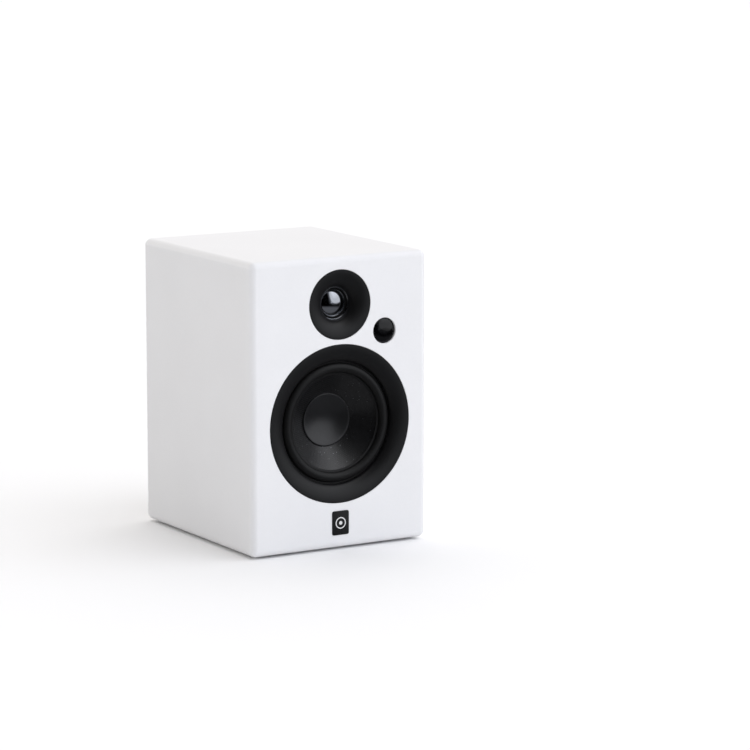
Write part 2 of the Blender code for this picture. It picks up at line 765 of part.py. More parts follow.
def make_power_switch():
    """A rocker on two pins in its frame. The rocker rests tilted, with its lower end out."""
    frame = rear_box("switch_frame", (0.0126, 0.0186), SWITCH_AT, -0.0010, 0.014, BLACK_PLASTIC)
    join(frame, rear_box("switch_flange", (0.0150, 0.0210), SWITCH_AT, -0.0018, -GAP, None, helper=True))
    cut(frame, rear_box("switch_well", (0.0108, 0.0172), SWITCH_AT, -0.004, 0.009, None, helper=True))
    pivot = behind(REAR_FACE, AMP, SWITCH_AT, ROCKER_PIVOT_DEPTH)
    cut(frame, cross_pin("switch_pin_holes", 0.00108, 0.0118, pivot))

    half, rise = 0.0080, 0.0045
    outline = [(-half, rise), (-0.0035, 0.0034), (0, 0.0030), (0.0035, 0.0034), (half, rise)]
    outline += [(half - 0.0012, -0.0012), (0.004, -0.0030), (-0.004, -0.0030), (-(half - 0.0012), -0.0012)]
    outline = [(y, z) for z, y in outline]
    rocker = flat("power_rocker", [outline], 0.0102, BLACK_PLASTIC, pivot, SIDEWAYS)
    upright = rocker.rotation_euler.to_matrix()
    rocker.rotation_euler = (Matrix.Rotation(ROCKER_TILT, 3, "X") @ upright).to_euler()
    join(rocker, cross_pin("rocker_pins", 0.0010, 0.0114, pivot))


def make_volume_control():
    """Rotary encoder with a threaded bushing, its shaft, and the knob on it."""
    axis = on_plate(KNOB_AT)
    encoder = rear_box("volume_encoder", (0.013, 0.013), KNOB_AT, 0.0033, 0.0103, BLACK_PLASTIC)
    join(encoder, rod("encoder_bushing", 3.5, axis, REAR_FACE, -4.0, 5.0))
    cut(encoder, rod("encoder_bore", 2.85, axis, REAR_FACE, -6.0, 9.0, RUNNING))
    shaft = [(0, -13.6), (2.4, -13.6), (2.75, -13.2), (2.75, 8.4), (0, 8.4)]
    turned("volume_shaft", shaft, STEEL, axis, REAR_FACE, RUNNING)
    knob = [
        (0, -17.0),
        (8.4, -17.0),
        (9.2, -16.2),
        (9.6, -1.2),
        (8.4, -1.2),
        (8.4, -5.0),
        (3.05, -5.0),
        (3.05, -14.0),
        (0, -14.0),
    ]
    turned("volume_knob", knob, BLACK_PLASTIC, axis, REAR_FACE, 24)


def make_pair_button():
    """A round push button, held behind the plate by its wider foot."""
    profile = [(0, -1.6), (2.5, -1.6), (3.0, -1.1), (3.0, 3.4), (4.2, 3.4), (4.2, 4.4), (0, 4.4)]
    turned("pair_button", profile, BLACK_PLASTIC, on_plate(BUTTON_AT), REAR_FACE, SMALL)


def make_signal_sockets():
    """The twin line-in jacks in one block, the small aux jack, and the optical socket with its flap."""
    block = rear_box("line_in_jacks", (0.034, 0.013), LINE_IN_AT, 0.0033, 0.0123, BLACK_PLASTIC)
    for i, side in enumerate((-1, 1)):
        axis = on_plate((LINE_IN_AT[0] + side * JACK_SPACING / 2, LINE_IN_AT[1]))
        join(block, rod(f"jack_barrel_{i + 1}", 4.15, axis, REAR_FACE, -8.5, 5.0))
        cut(block, rod(f"jack_bore_{i + 1}", 1.7, axis, REAR_FACE, -10.0, 6.0, 8))

    aux = rear_box("aux_jack", (0.011, 0.011), AUX_AT, 0.0033, 0.0163, BLACK_PLASTIC)
    join(aux, rod("aux_nose", 3.0, on_plate(AUX_AT), REAR_FACE, -1.5, 5.0))
    cut(aux, rod("aux_bore", 1.8, on_plate(AUX_AT), REAR_FACE, -3.0, 12.0, 8))

    hinge_at = (OPTICAL_AT[0], OPTICAL_AT[1] + OPTICAL_HINGE_Z)
    hinge = behind(REAR_FACE, AMP, hinge_at, OPTICAL_HINGE_DEPTH)
    optical = rear_box("optical_jack", (0.013, 0.011), OPTICAL_AT, -0.0005, 0.014, BLACK_PLASTIC)
    cut(
        optical,
        rear_box("optical_well", (0.0086, 0.0086), OPTICAL_AT, -0.002, 0.0105, None, helper=True),
        cross_pin("flap_pin_holes", 0.00046, 0.0104, hinge),
    )

    half = 0.0040
    flap = boxed("optical_flap", (2 * half, 0.0008, 2 * half), hinge, BLACK_PLASTIC)
    flap.data.transform(Matrix.Translation((0, 0, -OPTICAL_HINGE_Z)))
    join(flap, cross_pin("flap_pins", 0.0004, 0.0100, hinge))


def make_binding_posts():
    """Two screw terminals for the other speaker: a bored post, and a cap with a brass bush on it."""
    tip = -17.4
    post = [
        (3.0, tip),
        (3.0, -4.2),
        (6.2, -4.2),
        (6.2, -0.3),
        (4.0, -0.3),
        (4.0, 8.0),
        (2.0, 8.0),
        (2.0, 15.0),
        (0, 15.0),
    ]
    post = [(0, -5.0), (2.05, -5.0), (2.05, tip), *post]
    bush = [(4.0, -12.5), (4.0, -5.0), (3.09, -5.0), (3.09, -12.5)]
    reach = -REAR_REACH / MM
    cap = [
        (5.3, reach),
        (6.0, reach + 0.8),
        (6.0, -4.6),
        (4.3, -4.6),
        (4.3, tip - 0.5),
        (2.5, tip - 0.5),
        (2.5, reach),
    ]
    for colour, at in POSTS_AT.items():
        shade = RED_PLASTIC if colour == "red" else BLACK_PLASTIC
        turned(f"post_base_{colour}", post, BRASS, on_plate(at), REAR_FACE, RUNNING)
        turned(f"post_bush_{colour}", bush, BRASS, on_plate(at), REAR_FACE, RUNNING)
        turned(f"post_cap_{colour}", cap, shade, on_plate(at), REAR_FACE, SMALL)


# Wiring ---------------------------------------------------------------------------------------------------


def smooth_route(points, per_span=3):
    """Points along a smooth curve through the given ones (a Catmull-Rom spline)."""
    knots = [Vector(p) for p in points]
    knots = [2 * knots[0] - knots[1], *knots, 2 * knots[-1] - knots[-2]]
    route = []
    for i in range(1, len(knots) - 2):
        before, start, end, after = knots[i - 1 : i + 3]
        for step in range(per_span):
            t = step / per_span
            route.append(
                0.5
                * (
                    2 * start
                    + (end - before) * t
                    + (2 * before - 5 * start + 4 * end - after) * t**2
                    + (3 * start - before - 3 * end + after) * t**3
                )
            )
    return [*route, knots[-2]]


def make_wire(name, points):
    """A sheathed lead along a smooth route."""
    curve = bpy.data.curves.new(name, "CURVE")
    curve.dimensions = "3D"
    curve.bevel_depth = 0.0011
    curve.bevel_resolution = 2
    curve.use_fill_caps = True
    spline = curve.splines.new("POLY")
    route = smooth_route(points)
    spline.points.add(len(route) - 1)
    for point, place in zip(spline.points, route):
        point.co = (*place, 1)
    add(name, curve, WIRE_SHEATH)


def make_wiring():
    """A lead from the board to each driver."""
    board_y = BACK - 0.0224
    make_wire(
        "woofer_wire",
        [
            (0.036, board_y - 0.0005, AMP[1] + 0.010),
            (0.038, board_y - 0.018, AMP[1] + 0.012),
            (0.052, board_y - 0.050, AMP[1] + 0.006),
            (0.058, FRONT + 0.070, WOOFER[1] - 0.004),
            (0.056, FRONT + 0.048, WOOFER[1]),
            (0.0495, FRONT + 0.0395, WOOFER[1]),
        ],
    )
    make_wire(
        "tweeter_wire",
        [
            (0.044, board_y - 0.0005, AMP[1] + 0.030),
            (0.044, board_y - 0.024, AMP[1] + 0.040),
            (0.040, board_y - 0.060, AMP[1] + 0.078),
            (0.036, FRONT + 0.080, TWEETER[1] - 0.030),
            (0.022, FRONT + 0.052, TWEETER[1] - 0.006),
            (0.012, FRONT + 0.031, TWEETER[1]),
        ],
    )


def main():
    make_front_baffle()
    make_rear_panel()
    make_walls()
    make_brace()
    make_damping_liner()
    make_bass_port()
    make_feet()
    make_trim_ring()
    make_basket()
    make_woofer_motor()
    make_woofer_screws()
    make_woofer_diaphragm()
    make_waveguide()
    make_tweeter_diaphragm()
    make_tweeter_motor()
    make_window()
    make_badge()
    make_amp_plate()
    make_amp_board()
    make_mains_inlet()
    make_power_switch()
    make_volume_control()
    make_pair_button()
    make_signal_sockets()
    make_binding_posts()
    make_wiring()


main()
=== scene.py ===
"""Looks of a powered two-way bookshelf speaker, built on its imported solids.

Lengths in the classes are millimetres; the scene itself is in metres. Depth runs from the outer face of the
baffle, or of the rear panel, into the cabinet, so a negative depth stands proud of that face.
"""

import logging
import math
from collections.abc import Callable, Iterator, Sequence
from contextlib import contextmanager
from dataclasses import dataclass, field
from enum import Enum
from itertools import pairwise

import bmesh
import bpy
from mathutils import Matrix, Vector


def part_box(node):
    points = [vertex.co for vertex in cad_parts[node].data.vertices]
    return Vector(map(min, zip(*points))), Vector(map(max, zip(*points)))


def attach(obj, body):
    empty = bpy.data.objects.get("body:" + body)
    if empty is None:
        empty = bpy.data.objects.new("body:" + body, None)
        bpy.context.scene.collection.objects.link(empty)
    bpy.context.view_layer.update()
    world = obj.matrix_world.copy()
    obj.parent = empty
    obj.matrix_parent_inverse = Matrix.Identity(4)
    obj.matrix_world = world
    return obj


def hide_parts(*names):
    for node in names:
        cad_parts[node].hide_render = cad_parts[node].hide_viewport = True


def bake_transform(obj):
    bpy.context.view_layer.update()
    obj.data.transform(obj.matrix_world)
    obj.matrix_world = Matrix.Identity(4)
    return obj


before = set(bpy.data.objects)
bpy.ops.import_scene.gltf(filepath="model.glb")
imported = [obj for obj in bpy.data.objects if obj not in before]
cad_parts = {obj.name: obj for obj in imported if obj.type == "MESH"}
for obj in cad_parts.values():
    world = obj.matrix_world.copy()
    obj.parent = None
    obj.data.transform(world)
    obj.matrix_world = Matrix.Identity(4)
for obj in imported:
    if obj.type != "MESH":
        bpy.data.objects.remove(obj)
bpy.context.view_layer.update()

LOG = logging.getLogger("speaker")
MM = 0.001
FULL_TURN = 2 * math.pi
FINE, PLAIN, SMALL = 144, 72, 40
WELD = 0.000001
# How far a unit normal has to lie along an axis for its face to count as square to it.
SQUARE_TO = 0.9
# A wave texture repeats this often in a full turn.
WAVE_REPEATS = 20
COAT_ROUGHNESS = 0.24
# How far each of the two line-in jacks is from the middle of their block, in millimetres.
LINE_SPACING = 9.0
# A glint: bare glass under thin resin, and the part of a cell that it fills.
BARE_GLASS, FACET = "#8C8E92", 0.30

Point = tuple[float, float]
Corner = tuple[float, float, float]
Piece = bpy.types.Object
Tree = bpy.types.NodeTree
Node = bpy.types.Node
Socket = bpy.types.NodeSocket


class Body(Enum):
    """The rigid bodies that pieces ride on."""

    CABINET = "cabinet"
    WOOFER = "woofer_diaphragm"
    TWEETER = "tweeter_diaphragm"
    KNOB = "volume_knob_and_shaft"
    BUTTON = "pair_button"
    ROCKER = "power_rocker"
    FLAP = "optical_flap"
    RED_CAP = "red_post_cap"
    BLACK_CAP = "black_post_cap"


# Modelling ------------------------------------------------------------------------------------------------


@dataclass(frozen=True)
class Seat:
    """Where an axis that runs front to back meets a face, in metres, and which way along Y is inward."""

    x: float
    y: float
    z: float
    inward: float

    def at(self, across: float, up: float, depth: float) -> Vector:
        """The point at an offset, in millimetres, from the axis and at a depth behind the face."""
        return Vector((self.x + across * MM, self.y + self.inward * depth * MM, self.z + up * MM))

    def moved(self, across: float, up: float) -> "Seat":
        """The seat beside this one, offset in millimetres."""
        return Seat(self.x + across * MM, self.y, self.z + up * MM, self.inward)


def front_seat(node: str) -> Seat:
    """The seat on the baffle's outer face of a node that is centred on its axis."""
    low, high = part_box(node)
    return Seat((low.x + high.x) / 2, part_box("front_baffle")[0].y, (low.z + high.z) / 2, 1.0)


def rear_seat(node: str) -> Seat:
    """The seat on the rear panel's outer face of a node that is centred on its axis."""
    low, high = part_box(node)
    return Seat((low.x + high.x) / 2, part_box("rear_panel")[1].y, (low.z + high.z) / 2, -1.0)


def clear_selection() -> None:
    """Leaves nothing selected and nothing active."""
    for item in list(bpy.context.selected_objects):
        item.select_set(False)
    bpy.context.view_layer.objects.active = None


def take(piece: Piece) -> Piece:
    """Makes a piece the only selected one, and the active one."""
    clear_selection()
    piece.select_set(True)
    bpy.context.view_layer.objects.active = piece
    return piece


def claim(name: str) -> Piece:
    """Names the primitive that was just added, with its place put into its mesh.

    Args:
        name: The piece's name.

    Returns:
        The piece.
    """
    piece = bpy.context.active_object
    piece.name = piece.data.name = name
    bpy.ops.object.transform_apply(location=True, rotation=True, scale=True)
    return piece


@contextmanager
def editing(piece: Piece, kind: str = "VERT", action: str = "SELECT") -> Iterator[None]:
    """Opens a piece in edit mode, and leaves edit mode at the end.

    Args:
        piece: The piece to edit.
        kind: What is selected: VERT, EDGE or FACE.
        action: SELECT to start with everything selected, DESELECT with nothing.
    """
    take(piece)
    bpy.ops.object.mode_set(mode="EDIT")
    bpy.ops.mesh.select_mode(type=kind)
    bpy.ops.mesh.select_all(action=action)
    yield
    bpy.ops.object.mode_set(mode="OBJECT")


def choose_faces(piece: Piece, test: Callable[[Vector, Vector], bool]) -> None:
    """Selects, in edit mode, the faces whose centre and normal pass a test."""
    mesh = bmesh.from_edit_mesh(piece.data)
    for face in mesh.faces:
        face.select_set(test(face.calc_center_median(), face.normal))
    bmesh.update_edit_mesh(piece.data)


def choose_edges(piece: Piece, test: Callable[[Vector, Vector], bool]) -> None:
    """Selects, in edit mode, the edges whose two ends pass a test."""
    mesh = bmesh.from_edit_mesh(piece.data)
    for edge in mesh.edges:
        edge.select_set(test(edge.verts[0].co, edge.verts[1].co))
    bmesh.update_edit_mesh(piece.data)


def modify(piece: Piece, kind: str, **settings: object) -> Piece:
    """Adds a modifier to a piece and applies it.

    Args:
        piece: The piece to change.
        kind: The modifier's type.
        settings: The modifier's settings by name.

    Returns:
        The same piece.
    """
    take(piece)
    modifier = piece.modifiers.new(kind.lower(), kind)
    for name, value in settings.items():
        setattr(modifier, name, value)
    bpy.ops.object.modifier_apply(modifier=modifier.name)
    return piece


def carve(piece: Piece, *others: Piece, operation: str = "DIFFERENCE") -> Piece:
    """Cuts other pieces out of a piece, or unites them with it, and removes them."""
    for other in others:
        modify(piece, "BOOLEAN", operation=operation, object=other, solver="EXACT")
        bpy.data.objects.remove(other)
    return piece


def soften_edges(piece: Piece, width: float, segments: int = 2, angle: float = 35) -> Piece:
    """Rounds every edge sharper than an angle in degrees, by a width in millimetres."""
    return modify(
        piece,
        "BEVEL",
        width=width * MM,
        segments=segments,
        limit_method="ANGLE",
        angle_limit=math.radians(angle),
        use_clamp_overlap=True,
    )


def shade(piece: Piece, angle: float = 32) -> Piece:
    """Shades a piece smooth, apart from edges sharper than an angle in degrees."""
    take(piece)
    bpy.ops.object.shade_smooth_by_angle(angle=math.radians(angle))
    return piece


def copied(piece: Piece, name: str, shift: Vector) -> Piece:
    """A copy of a piece, with its own mesh, moved by a vector in metres."""
    take(piece)
    bpy.ops.object.duplicate(linked=False)
    bpy.ops.transform.translate(value=shift)
    return claim(name)


def merged(name: str, pieces: Sequence[Piece]) -> Piece:
    """Several shapes made one piece."""
    clear_selection()
    for piece in pieces:
        piece.select_set(True)
    bpy.context.view_layer.objects.active = pieces[0]
    bpy.ops.object.join()
    return claim(name)


def block(name: str, low: Vector, high: Vector, bevel: float = 0.0, segments: int = 2) -> Piece:
    """A box between two corners, with its edges rounded by a width in millimetres."""
    low, high = (Vector(map(pick, low, high)) for pick in (min, max))
    bpy.ops.mesh.primitive_cube_add(size=1, location=(low + high) / 2, scale=high - low)
    piece = claim(name)
    return shade(soften_edges(piece, bevel, segments)) if bevel else piece


def disc(name: str, seat: Seat, radius: float, shallow: float, deep: float, sides: int = PLAIN) -> Piece:
    """A cylinder across a face, from one depth to another."""
    bpy.ops.mesh.primitive_cylinder_add(
        vertices=sides,
        radius=radius * MM,
        depth=abs(deep - shallow) * MM,
        location=seat.at(0, 0, (shallow + deep) / 2),
        rotation=(math.pi / 2, 0, 0),
    )
    return claim(name)


def rounded(corners: Sequence[Corner], closed: bool = True, steps: int = 3) -> list[Point]:
    """A profile with its corners rounded.

    Args:
        corners: Radius, depth and the corner's rounding, all in millimetres.
        closed: Whether the last corner joins the first.
        steps: How many edges each rounding has.

    Returns:
        The profile's points.
    """
    profile: list[Point] = []
    for i, (r, d, fillet) in enumerate(corners):
        here = Vector((r, d))
        ends = not closed and i in (0, len(corners) - 1)
        if ends or fillet <= 0:
            profile.append((r, d))
            continue
        before = Vector(corners[i - 1][:2]) - here
        after = Vector(corners[(i + 1) % len(corners)][:2]) - here
        reach = min(fillet, before.length * 0.49, after.length * 0.49)
        start, end = here + before.normalized() * reach, here + after.normalized() * reach
        for step in range(steps + 1):
            t = step / steps
            point = start * (1 - t) ** 2 + here * 2 * t * (1 - t) + end * t**2
            profile.append((point.x, point.y))
    return profile


def tube(outer: float, inner: float, top: float, foot: float, fillets: Sequence[float]) -> list[Point]:
    """The profile of a tube between two radii and depths. Its fillets go round from the outer top corner."""
    corners = ((outer, top), (outer, foot), (inner, foot), (inner, top))
    return rounded([(*corner, fillet) for corner, fillet in zip(corners, fillets)])


def flare(rim: float, throat: float, depth: float, steps: int) -> list[Corner]:
    """A quarter of an ellipse, from a throat at a depth out to a flush rim."""
    turns = [math.pi / 2 * i / steps for i in range(steps + 1)]
    return [(rim - (rim - throat) * math.cos(turn), depth * (1 - math.sin(turn)), 0.0) for turn in turns]


def arch(middle: float, half: float, foot: float, height: float, steps: int) -> list[Point]:
    """A half roll: from its inner foot to its outer one, or back again if its half width is negative."""
    turns = [math.pi * i / steps for i in range(steps + 1)]
    return [(middle - half * math.cos(turn), foot - height * math.sin(turn)) for turn in turns]


def chain(name: str, points: Sequence[Vector]) -> Piece:
    """A chain of edges through points, each point extruded from the one before."""
    clear_selection()
    bpy.ops.mesh.primitive_plane_add(size=MM)
    piece = claim(name)
    with editing(piece):
        bpy.ops.mesh.merge(type="CENTER")
        bpy.ops.transform.translate(value=points[0])
        for before, after in pairwise(points):
            bpy.ops.mesh.extrude_vertices_move(TRANSFORM_OT_translate={"value": after - before})
    return piece


def turned(name: str, profile: Sequence[Point], seat: Seat, steps: int = FINE, angle: float = 32) -> Piece:
    """A closed piece turned about a seat's axis.

    Args:
        name: The piece's name.
        profile: Radius and depth of each point, in millimetres. It closes on itself, or starts and ends at
            radius 0.
        seat: The axis and the face that depth is counted from.
        steps: The number of sides.
        angle: The sharpest edge, in degrees, that is shaded smooth.

    Returns:
        The piece.
    """
    points = [seat.at(radius, 0, depth) for radius, depth in profile]
    if profile[0][0] > 0:
        points.append(points[0])
    piece = chain(name, points)
    with editing(piece):
        bpy.ops.mesh.spin(steps=steps, angle=FULL_TURN, center=seat.at(0, 0, 0), axis=(0, 1, 0))
        bpy.ops.mesh.select_all(action="SELECT")
        bpy.ops.mesh.remove_doubles(threshold=WELD)
        bpy.ops.mesh.normals_make_consistent(inside=False)
    return shade(piece, angle)


def rounded_plate(
    name: str, seat: Seat, size: Point, corner: float, depths: Point, edge: float = 0.0
) -> Piece:
    """A rectangular plate with round corners that lies along a face.

    Args:
        name: The piece's name.
        seat: The plate's middle.
        size: Width and height, in millimetres.
        corner: The radius of its corners.
        depths: The depths of its outer and inner face.
        edge: The rounding of its other edges.

    Returns:
        The piece.
    """
    width, height = size[0] / 2, size[1] / 2
    piece = block(name, seat.at(-width, -height, depths[0]), seat.at(width, height, depths[1]))
    with editing(piece, "EDGE", "DESELECT"):
        choose_edges(piece, lambda a, b: abs(a.y - b.y) > WELD)
        bpy.ops.mesh.bevel(offset=corner * MM, segments=8, affect="EDGES")
    return shade(soften_edges(piece, edge, 3) if edge else piece)


def ribbed(piece: Piece, seat: Seat, count: int, height: float, span: Point) -> Piece:
    """Raises ribs round a turned piece by extruding every second strip of its wall.

    Args:
        piece: A piece turned with twice as many sides as it gets ribs.
        seat: Its axis.
        count: How many ribs.
        height: How far they stand out, in millimetres.
        span: The depths between which the wall is taken.

    Returns:
        The same piece.
    """
    low, high = sorted(seat.at(0, 0, depth).y for depth in span)
    strip = FULL_TURN / (2 * count)

    def on_a_rib(centre: Vector, normal: Vector) -> bool:
        """Whether a face is on the wall and on every second strip."""
        turn = math.atan2(centre.z - seat.z, centre.x - seat.x) % FULL_TURN
        facing = normal.x * (centre.x - seat.x) + normal.z * (centre.z - seat.z) > 0
        upright = abs(normal.y) < 1 - SQUARE_TO
        return low < centre.y < high and upright and facing and int(turn / strip) % 2 == 0

    with editing(piece, "FACE", "DESELECT"):
        choose_faces(piece, on_a_rib)
        bpy.ops.mesh.extrude_region_shrink_fatten(TRANSFORM_OT_shrink_fatten={"value": height * MM})
    return shade(piece, 25)


# Finishes -------------------------------------------------------------------------------------------------


def linear(hex_colour: str) -> tuple[float, float, float, float]:
    """An sRGB hex colour as linear red, green, blue and alpha."""
    parts = [int(hex_colour[i : i + 2], 16) / 255 for i in (1, 3, 5)]
    return (*(p / 12.92 if p <= 0.04045 else ((p + 0.055) / 1.055) ** 2.4 for p in parts), 1.0)


def per_mm(size: float) -> float:
    """The texture scale that repeats a pattern once in a size in millimetres."""
    return 1 / (size * MM)


def add_node(
    tree: Tree,
    kind: str,
    settings: dict[str | int, object] | None = None,
    links: dict[str | int, Socket] | None = None,
) -> Node:
    """Adds a node.

    Args:
        tree: The tree it goes in.
        kind: The node's type, without the "ShaderNode" that all of them start with.
        settings: Values of inputs and of attributes, by name, or an input's by number.
        links: The socket that each named or numbered input takes its value from.

    Returns:
        The node.
    """
    node = tree.nodes.new("ShaderNode" + kind)
    for name, value in (settings or {}).items():
        if isinstance(name, int) or name in node.inputs:
            node.inputs[name].default_value = value
        else:
            setattr(node, name, value)
    for name, socket in (links or {}).items():
        tree.links.new(socket, node.inputs[name])
    return node


MADE: dict[str, bpy.types.Material] = {}


@dataclass(frozen=True)
class Finish:
    """A surface: its name, its darker and lighter sRGB colours, and its lowest and highest roughness."""

    name: str
    dark: str
    light: str
    smooth: float
    rough: float
    metallic: float = 0.0
    coat: float = 0.0

    def material(self) -> bpy.types.Material:
        """The finish's material, made the first time that it is asked for."""
        if self.name not in MADE:
            material = MADE[self.name] = bpy.data.materials.new(self.name)
            material.use_nodes = True
            tree = material.node_tree
            shader = tree.nodes["Principled BSDF"]
            shader.inputs["Metallic"].default_value = self.metallic
            shader.inputs["Coat Weight"].default_value = self.coat
            shader.inputs["Coat Roughness"].default_value = COAT_ROUGHNESS
            self.dress(tree, shader, add_node(tree, "TexCoord").outputs["Object"])
        return MADE[self.name]

    def dress(self, tree: Tree, shader: Node, where: Socket) -> None:
        """Builds the pattern and links it to the shader."""
        raise NotImplementedError

    def spread(
        self, tree: Tree, shader: Node, tint: Socket, gloss: Socket, height: Socket, relief: float
    ) -> None:
        """Turns three patterns into the finish's colour, roughness and relief.

        Args:
            tree: The material's tree.
            shader: Its Principled shader.
            tint: 0 to 1, from the darker to the lighter colour.
            gloss: 0 to 1, from the lowest to the highest roughness.
            height: 0 to 1, from the lowest to the highest point of the surface.
            relief: The height of the surface's texture, in millimetres.
        """
        colour = add_node(
            tree, "Mix", {"data_type": "RGBA", 6: linear(self.dark), 7: linear(self.light)}, {0: tint}
        )
        roughness = add_node(
            tree, "MapRange", {"To Min": self.smooth, "To Max": self.rough}, {"Value": gloss}
        )
        bump = add_node(tree, "Bump", {"Distance": relief * MM}, {"Height": height})
        tree.links.new(colour.outputs[2], shader.inputs["Base Color"])
        tree.links.new(roughness.outputs["Result"], shader.inputs["Roughness"])
        tree.links.new(bump.outputs["Normal"], shader.inputs["Normal"])


@dataclass(frozen=True)
class Grained(Finish):
    """A surface with an even fine grain over broad, faint clouds, such as spray or an eroded mould leaves."""

    grain: float = 1.0
    cloud: float = 40.0
    relief: float = 0.01
    stretch: tuple[float, float, float] = (1.0, 1.0, 1.0)

    def dress(self, tree: Tree, shader: Node, where: Socket) -> None:
        """Clouds tint it, grain roughens and embosses it."""
        placed = add_node(tree, "Mapping", {"Scale": self.stretch}, {"Vector": where})
        clouds = add_node(tree, "TexNoise", {"Scale": per_mm(self.cloud), "Detail": 3.0}, {"Vector": where})
        grain = add_node(
            tree,
            "TexNoise",
            {"Scale": per_mm(self.grain), "Detail": 4.0, "Roughness": 0.6},
            {"Vector": placed.outputs["Vector"]},
        )
        tint = add_node(
            tree, "Mix", {"data_type": "FLOAT", 0: 0.45}, {2: clouds.outputs["Fac"], 3: grain.outputs["Fac"]}
        )
        self.spread(tree, shader, tint.outputs[0], tint.outputs[0], grain.outputs["Fac"], self.relief)


@dataclass(frozen=True)
class Woven(Finish):
    """A plain weave seen from the front: threads that pass over and under each other."""

    thread: float = 1.2
    relief: float = 0.12
    turn: float = 0.0
    glints: float = 0.0

    def dress(self, tree: Tree, shader: Node, where: Socket) -> None:
        """Two sets of round threads, taken in turn by a checker of the thread's width."""
        placed = add_node(
            tree,
            "Mapping",
            {"Rotation": (0, math.radians(self.turn), 0), "Scale": (1, 0, 1)},
            {"Vector": where},
        )
        vector = placed.outputs["Vector"]
        scale = per_mm(self.thread) * FULL_TURN / WAVE_REPEATS
        warp, weft = (
            add_node(
                tree,
                "TexWave",
                {"bands_direction": direction, "Scale": scale, "Distortion": 0.35, "Detail": 1.0},
                {"Vector": vector},
            )
            for direction in ("X", "Z")
        )
        checker = add_node(tree, "TexChecker", {"Scale": per_mm(self.thread)}, {"Vector": vector})
        threads = add_node(
            tree,
            "Mix",
            {"data_type": "FLOAT"},
            {0: checker.outputs["Fac"], 2: warp.outputs["Fac"], 3: weft.outputs["Fac"]},
        )
        fibres = add_node(
            tree, "TexNoise", {"Scale": per_mm(self.thread * 1.4), "Detail": 3.0}, {"Vector": where}
        )
        tint = add_node(
            tree, "Math", {"operation": "MULTIPLY"}, {0: threads.outputs[0], 1: fibres.outputs["Fac"]}
        )
        self.spread(tree, shader, tint.outputs[0], fibres.outputs["Fac"], threads.outputs[0], self.relief)
        if self.glints:
            self.sparkle(tree, shader, where)

    def sparkle(self, tree: Tree, shader: Node, where: Socket) -> None:
        """Gives a few threads a bare, bright facet where the coating is thin."""
        cells = add_node(tree, "TexVoronoi", {"Scale": per_mm(self.thread)}, {"Vector": where})
        chosen = add_node(
            tree, "Math", {"operation": "GREATER_THAN", 1: 1 - self.glints}, {0: cells.outputs["Color"]}
        )
        middle = add_node(tree, "Math", {"operation": "LESS_THAN", 1: FACET}, {0: cells.outputs["Distance"]})
        bare = add_node(tree, "Math", {"operation": "MULTIPLY"}, {0: chosen.outputs[0], 1: middle.outputs[0]})
        coated = shader.inputs["Base Color"].links[0].from_socket
        colour = add_node(
            tree, "Mix", {"data_type": "RGBA", 7: linear(BARE_GLASS)}, {0: bare.outputs[0], 6: coated}
        )
        tree.links.new(colour.outputs[2], shader.inputs["Base Color"])
        tree.links.new(bare.outputs[0], shader.inputs["Metallic"])


@dataclass(frozen=True)
class Banded(Finish):
    """Fine parallel lines, such as wound wire, die lines or tool marks."""

    pitch: float = 0.5
    relief: float = 0.05
    along: str = "Y"
    wander: float = 0.4

    def dress(self, tree: Tree, shader: Node, where: Socket) -> None:
        """Bands give colour and relief, noise breaks up the gloss."""
        bands = add_node(
            tree,
            "TexWave",
            {
                "bands_direction": self.along,
                "Scale": per_mm(self.pitch) * FULL_TURN / WAVE_REPEATS,
                "Distortion": self.wander,
                "Detail": 1.0,
            },
            {"Vector": where},
        )
        patches = add_node(tree, "TexNoise", {"Scale": per_mm(9), "Detail": 4.0}, {"Vector": where})
        self.spread(
            tree, shader, bands.outputs["Fac"], patches.outputs["Fac"], bands.outputs["Fac"], self.relief
        )


@dataclass(frozen=True)
class Etched(Finish):
    """A circuit board: copper tracks under solder mask."""

    track: float = 1.6

    def dress(self, tree: Tree, shader: Node, where: Socket) -> None:
        """A brick pattern stands in for the tracks, and its mortar for the gaps between them."""
        turned_up = add_node(tree, "Mapping", {"Rotation": (math.pi / 2, 0, 0)}, {"Vector": where})
        tracks = add_node(
            tree,
            "TexBrick",
            {"Scale": per_mm(self.track * 4), "Mortar Size": 0.04, "Mortar Smooth": 0.4},
            {"Vector": turned_up.outputs["Vector"]},
        )
        flux = add_node(tree, "TexNoise", {"Scale": per_mm(12), "Detail": 3.0}, {"Vector": where})
        fac = tracks.outputs["Fac"]
        self.spread(tree, shader, fac, flux.outputs["Fac"], fac, 0.04)


# Two-pack lacquer, sprayed and left from the gun: a faint orange peel that blurs what it reflects.
LACQUER = Grained(
    "sprayed_satin_lacquer", "#EAEAEB", "#F2F2F3", 0.34, 0.44, grain=2.6, cloud=60, relief=0.006
)
# ABS from a spark-eroded mould, its grit drawn at 0.7 mm so that it shows: a soft sheen, no clear reflection.
SATIN_ABS = Grained("eroded_black_abs", "#0A0A0B", "#141416", 0.36, 0.48, grain=0.7, cloud=30, relief=0.012)
# Butyl rubber, pressed: matt, and a little lighter where the mould was worn.
BUTYL = Grained("pressed_butyl_rubber", "#090909", "#121213", 0.44, 0.58, grain=1.1, cloud=14, relief=0.015)
# Glass-fibre cloth in black resin: the threads catch the light, and a few facets glint.
GLASS_CLOTH = Woven(
    "coated_glass_cloth", "#050506", "#1F1F22", 0.30, 0.46, coat=0.9, thread=1.3, turn=22, glints=0.14
)
# A paper dish with a soft black coating: the smoothest of the dark surfaces, with a broad highlight.
COATED_DISH = Grained(
    "coated_paper_dish", "#0C0C0E", "#151518", 0.34, 0.44, coat=0.7, grain=1.4, cloud=22, relief=0.006
)
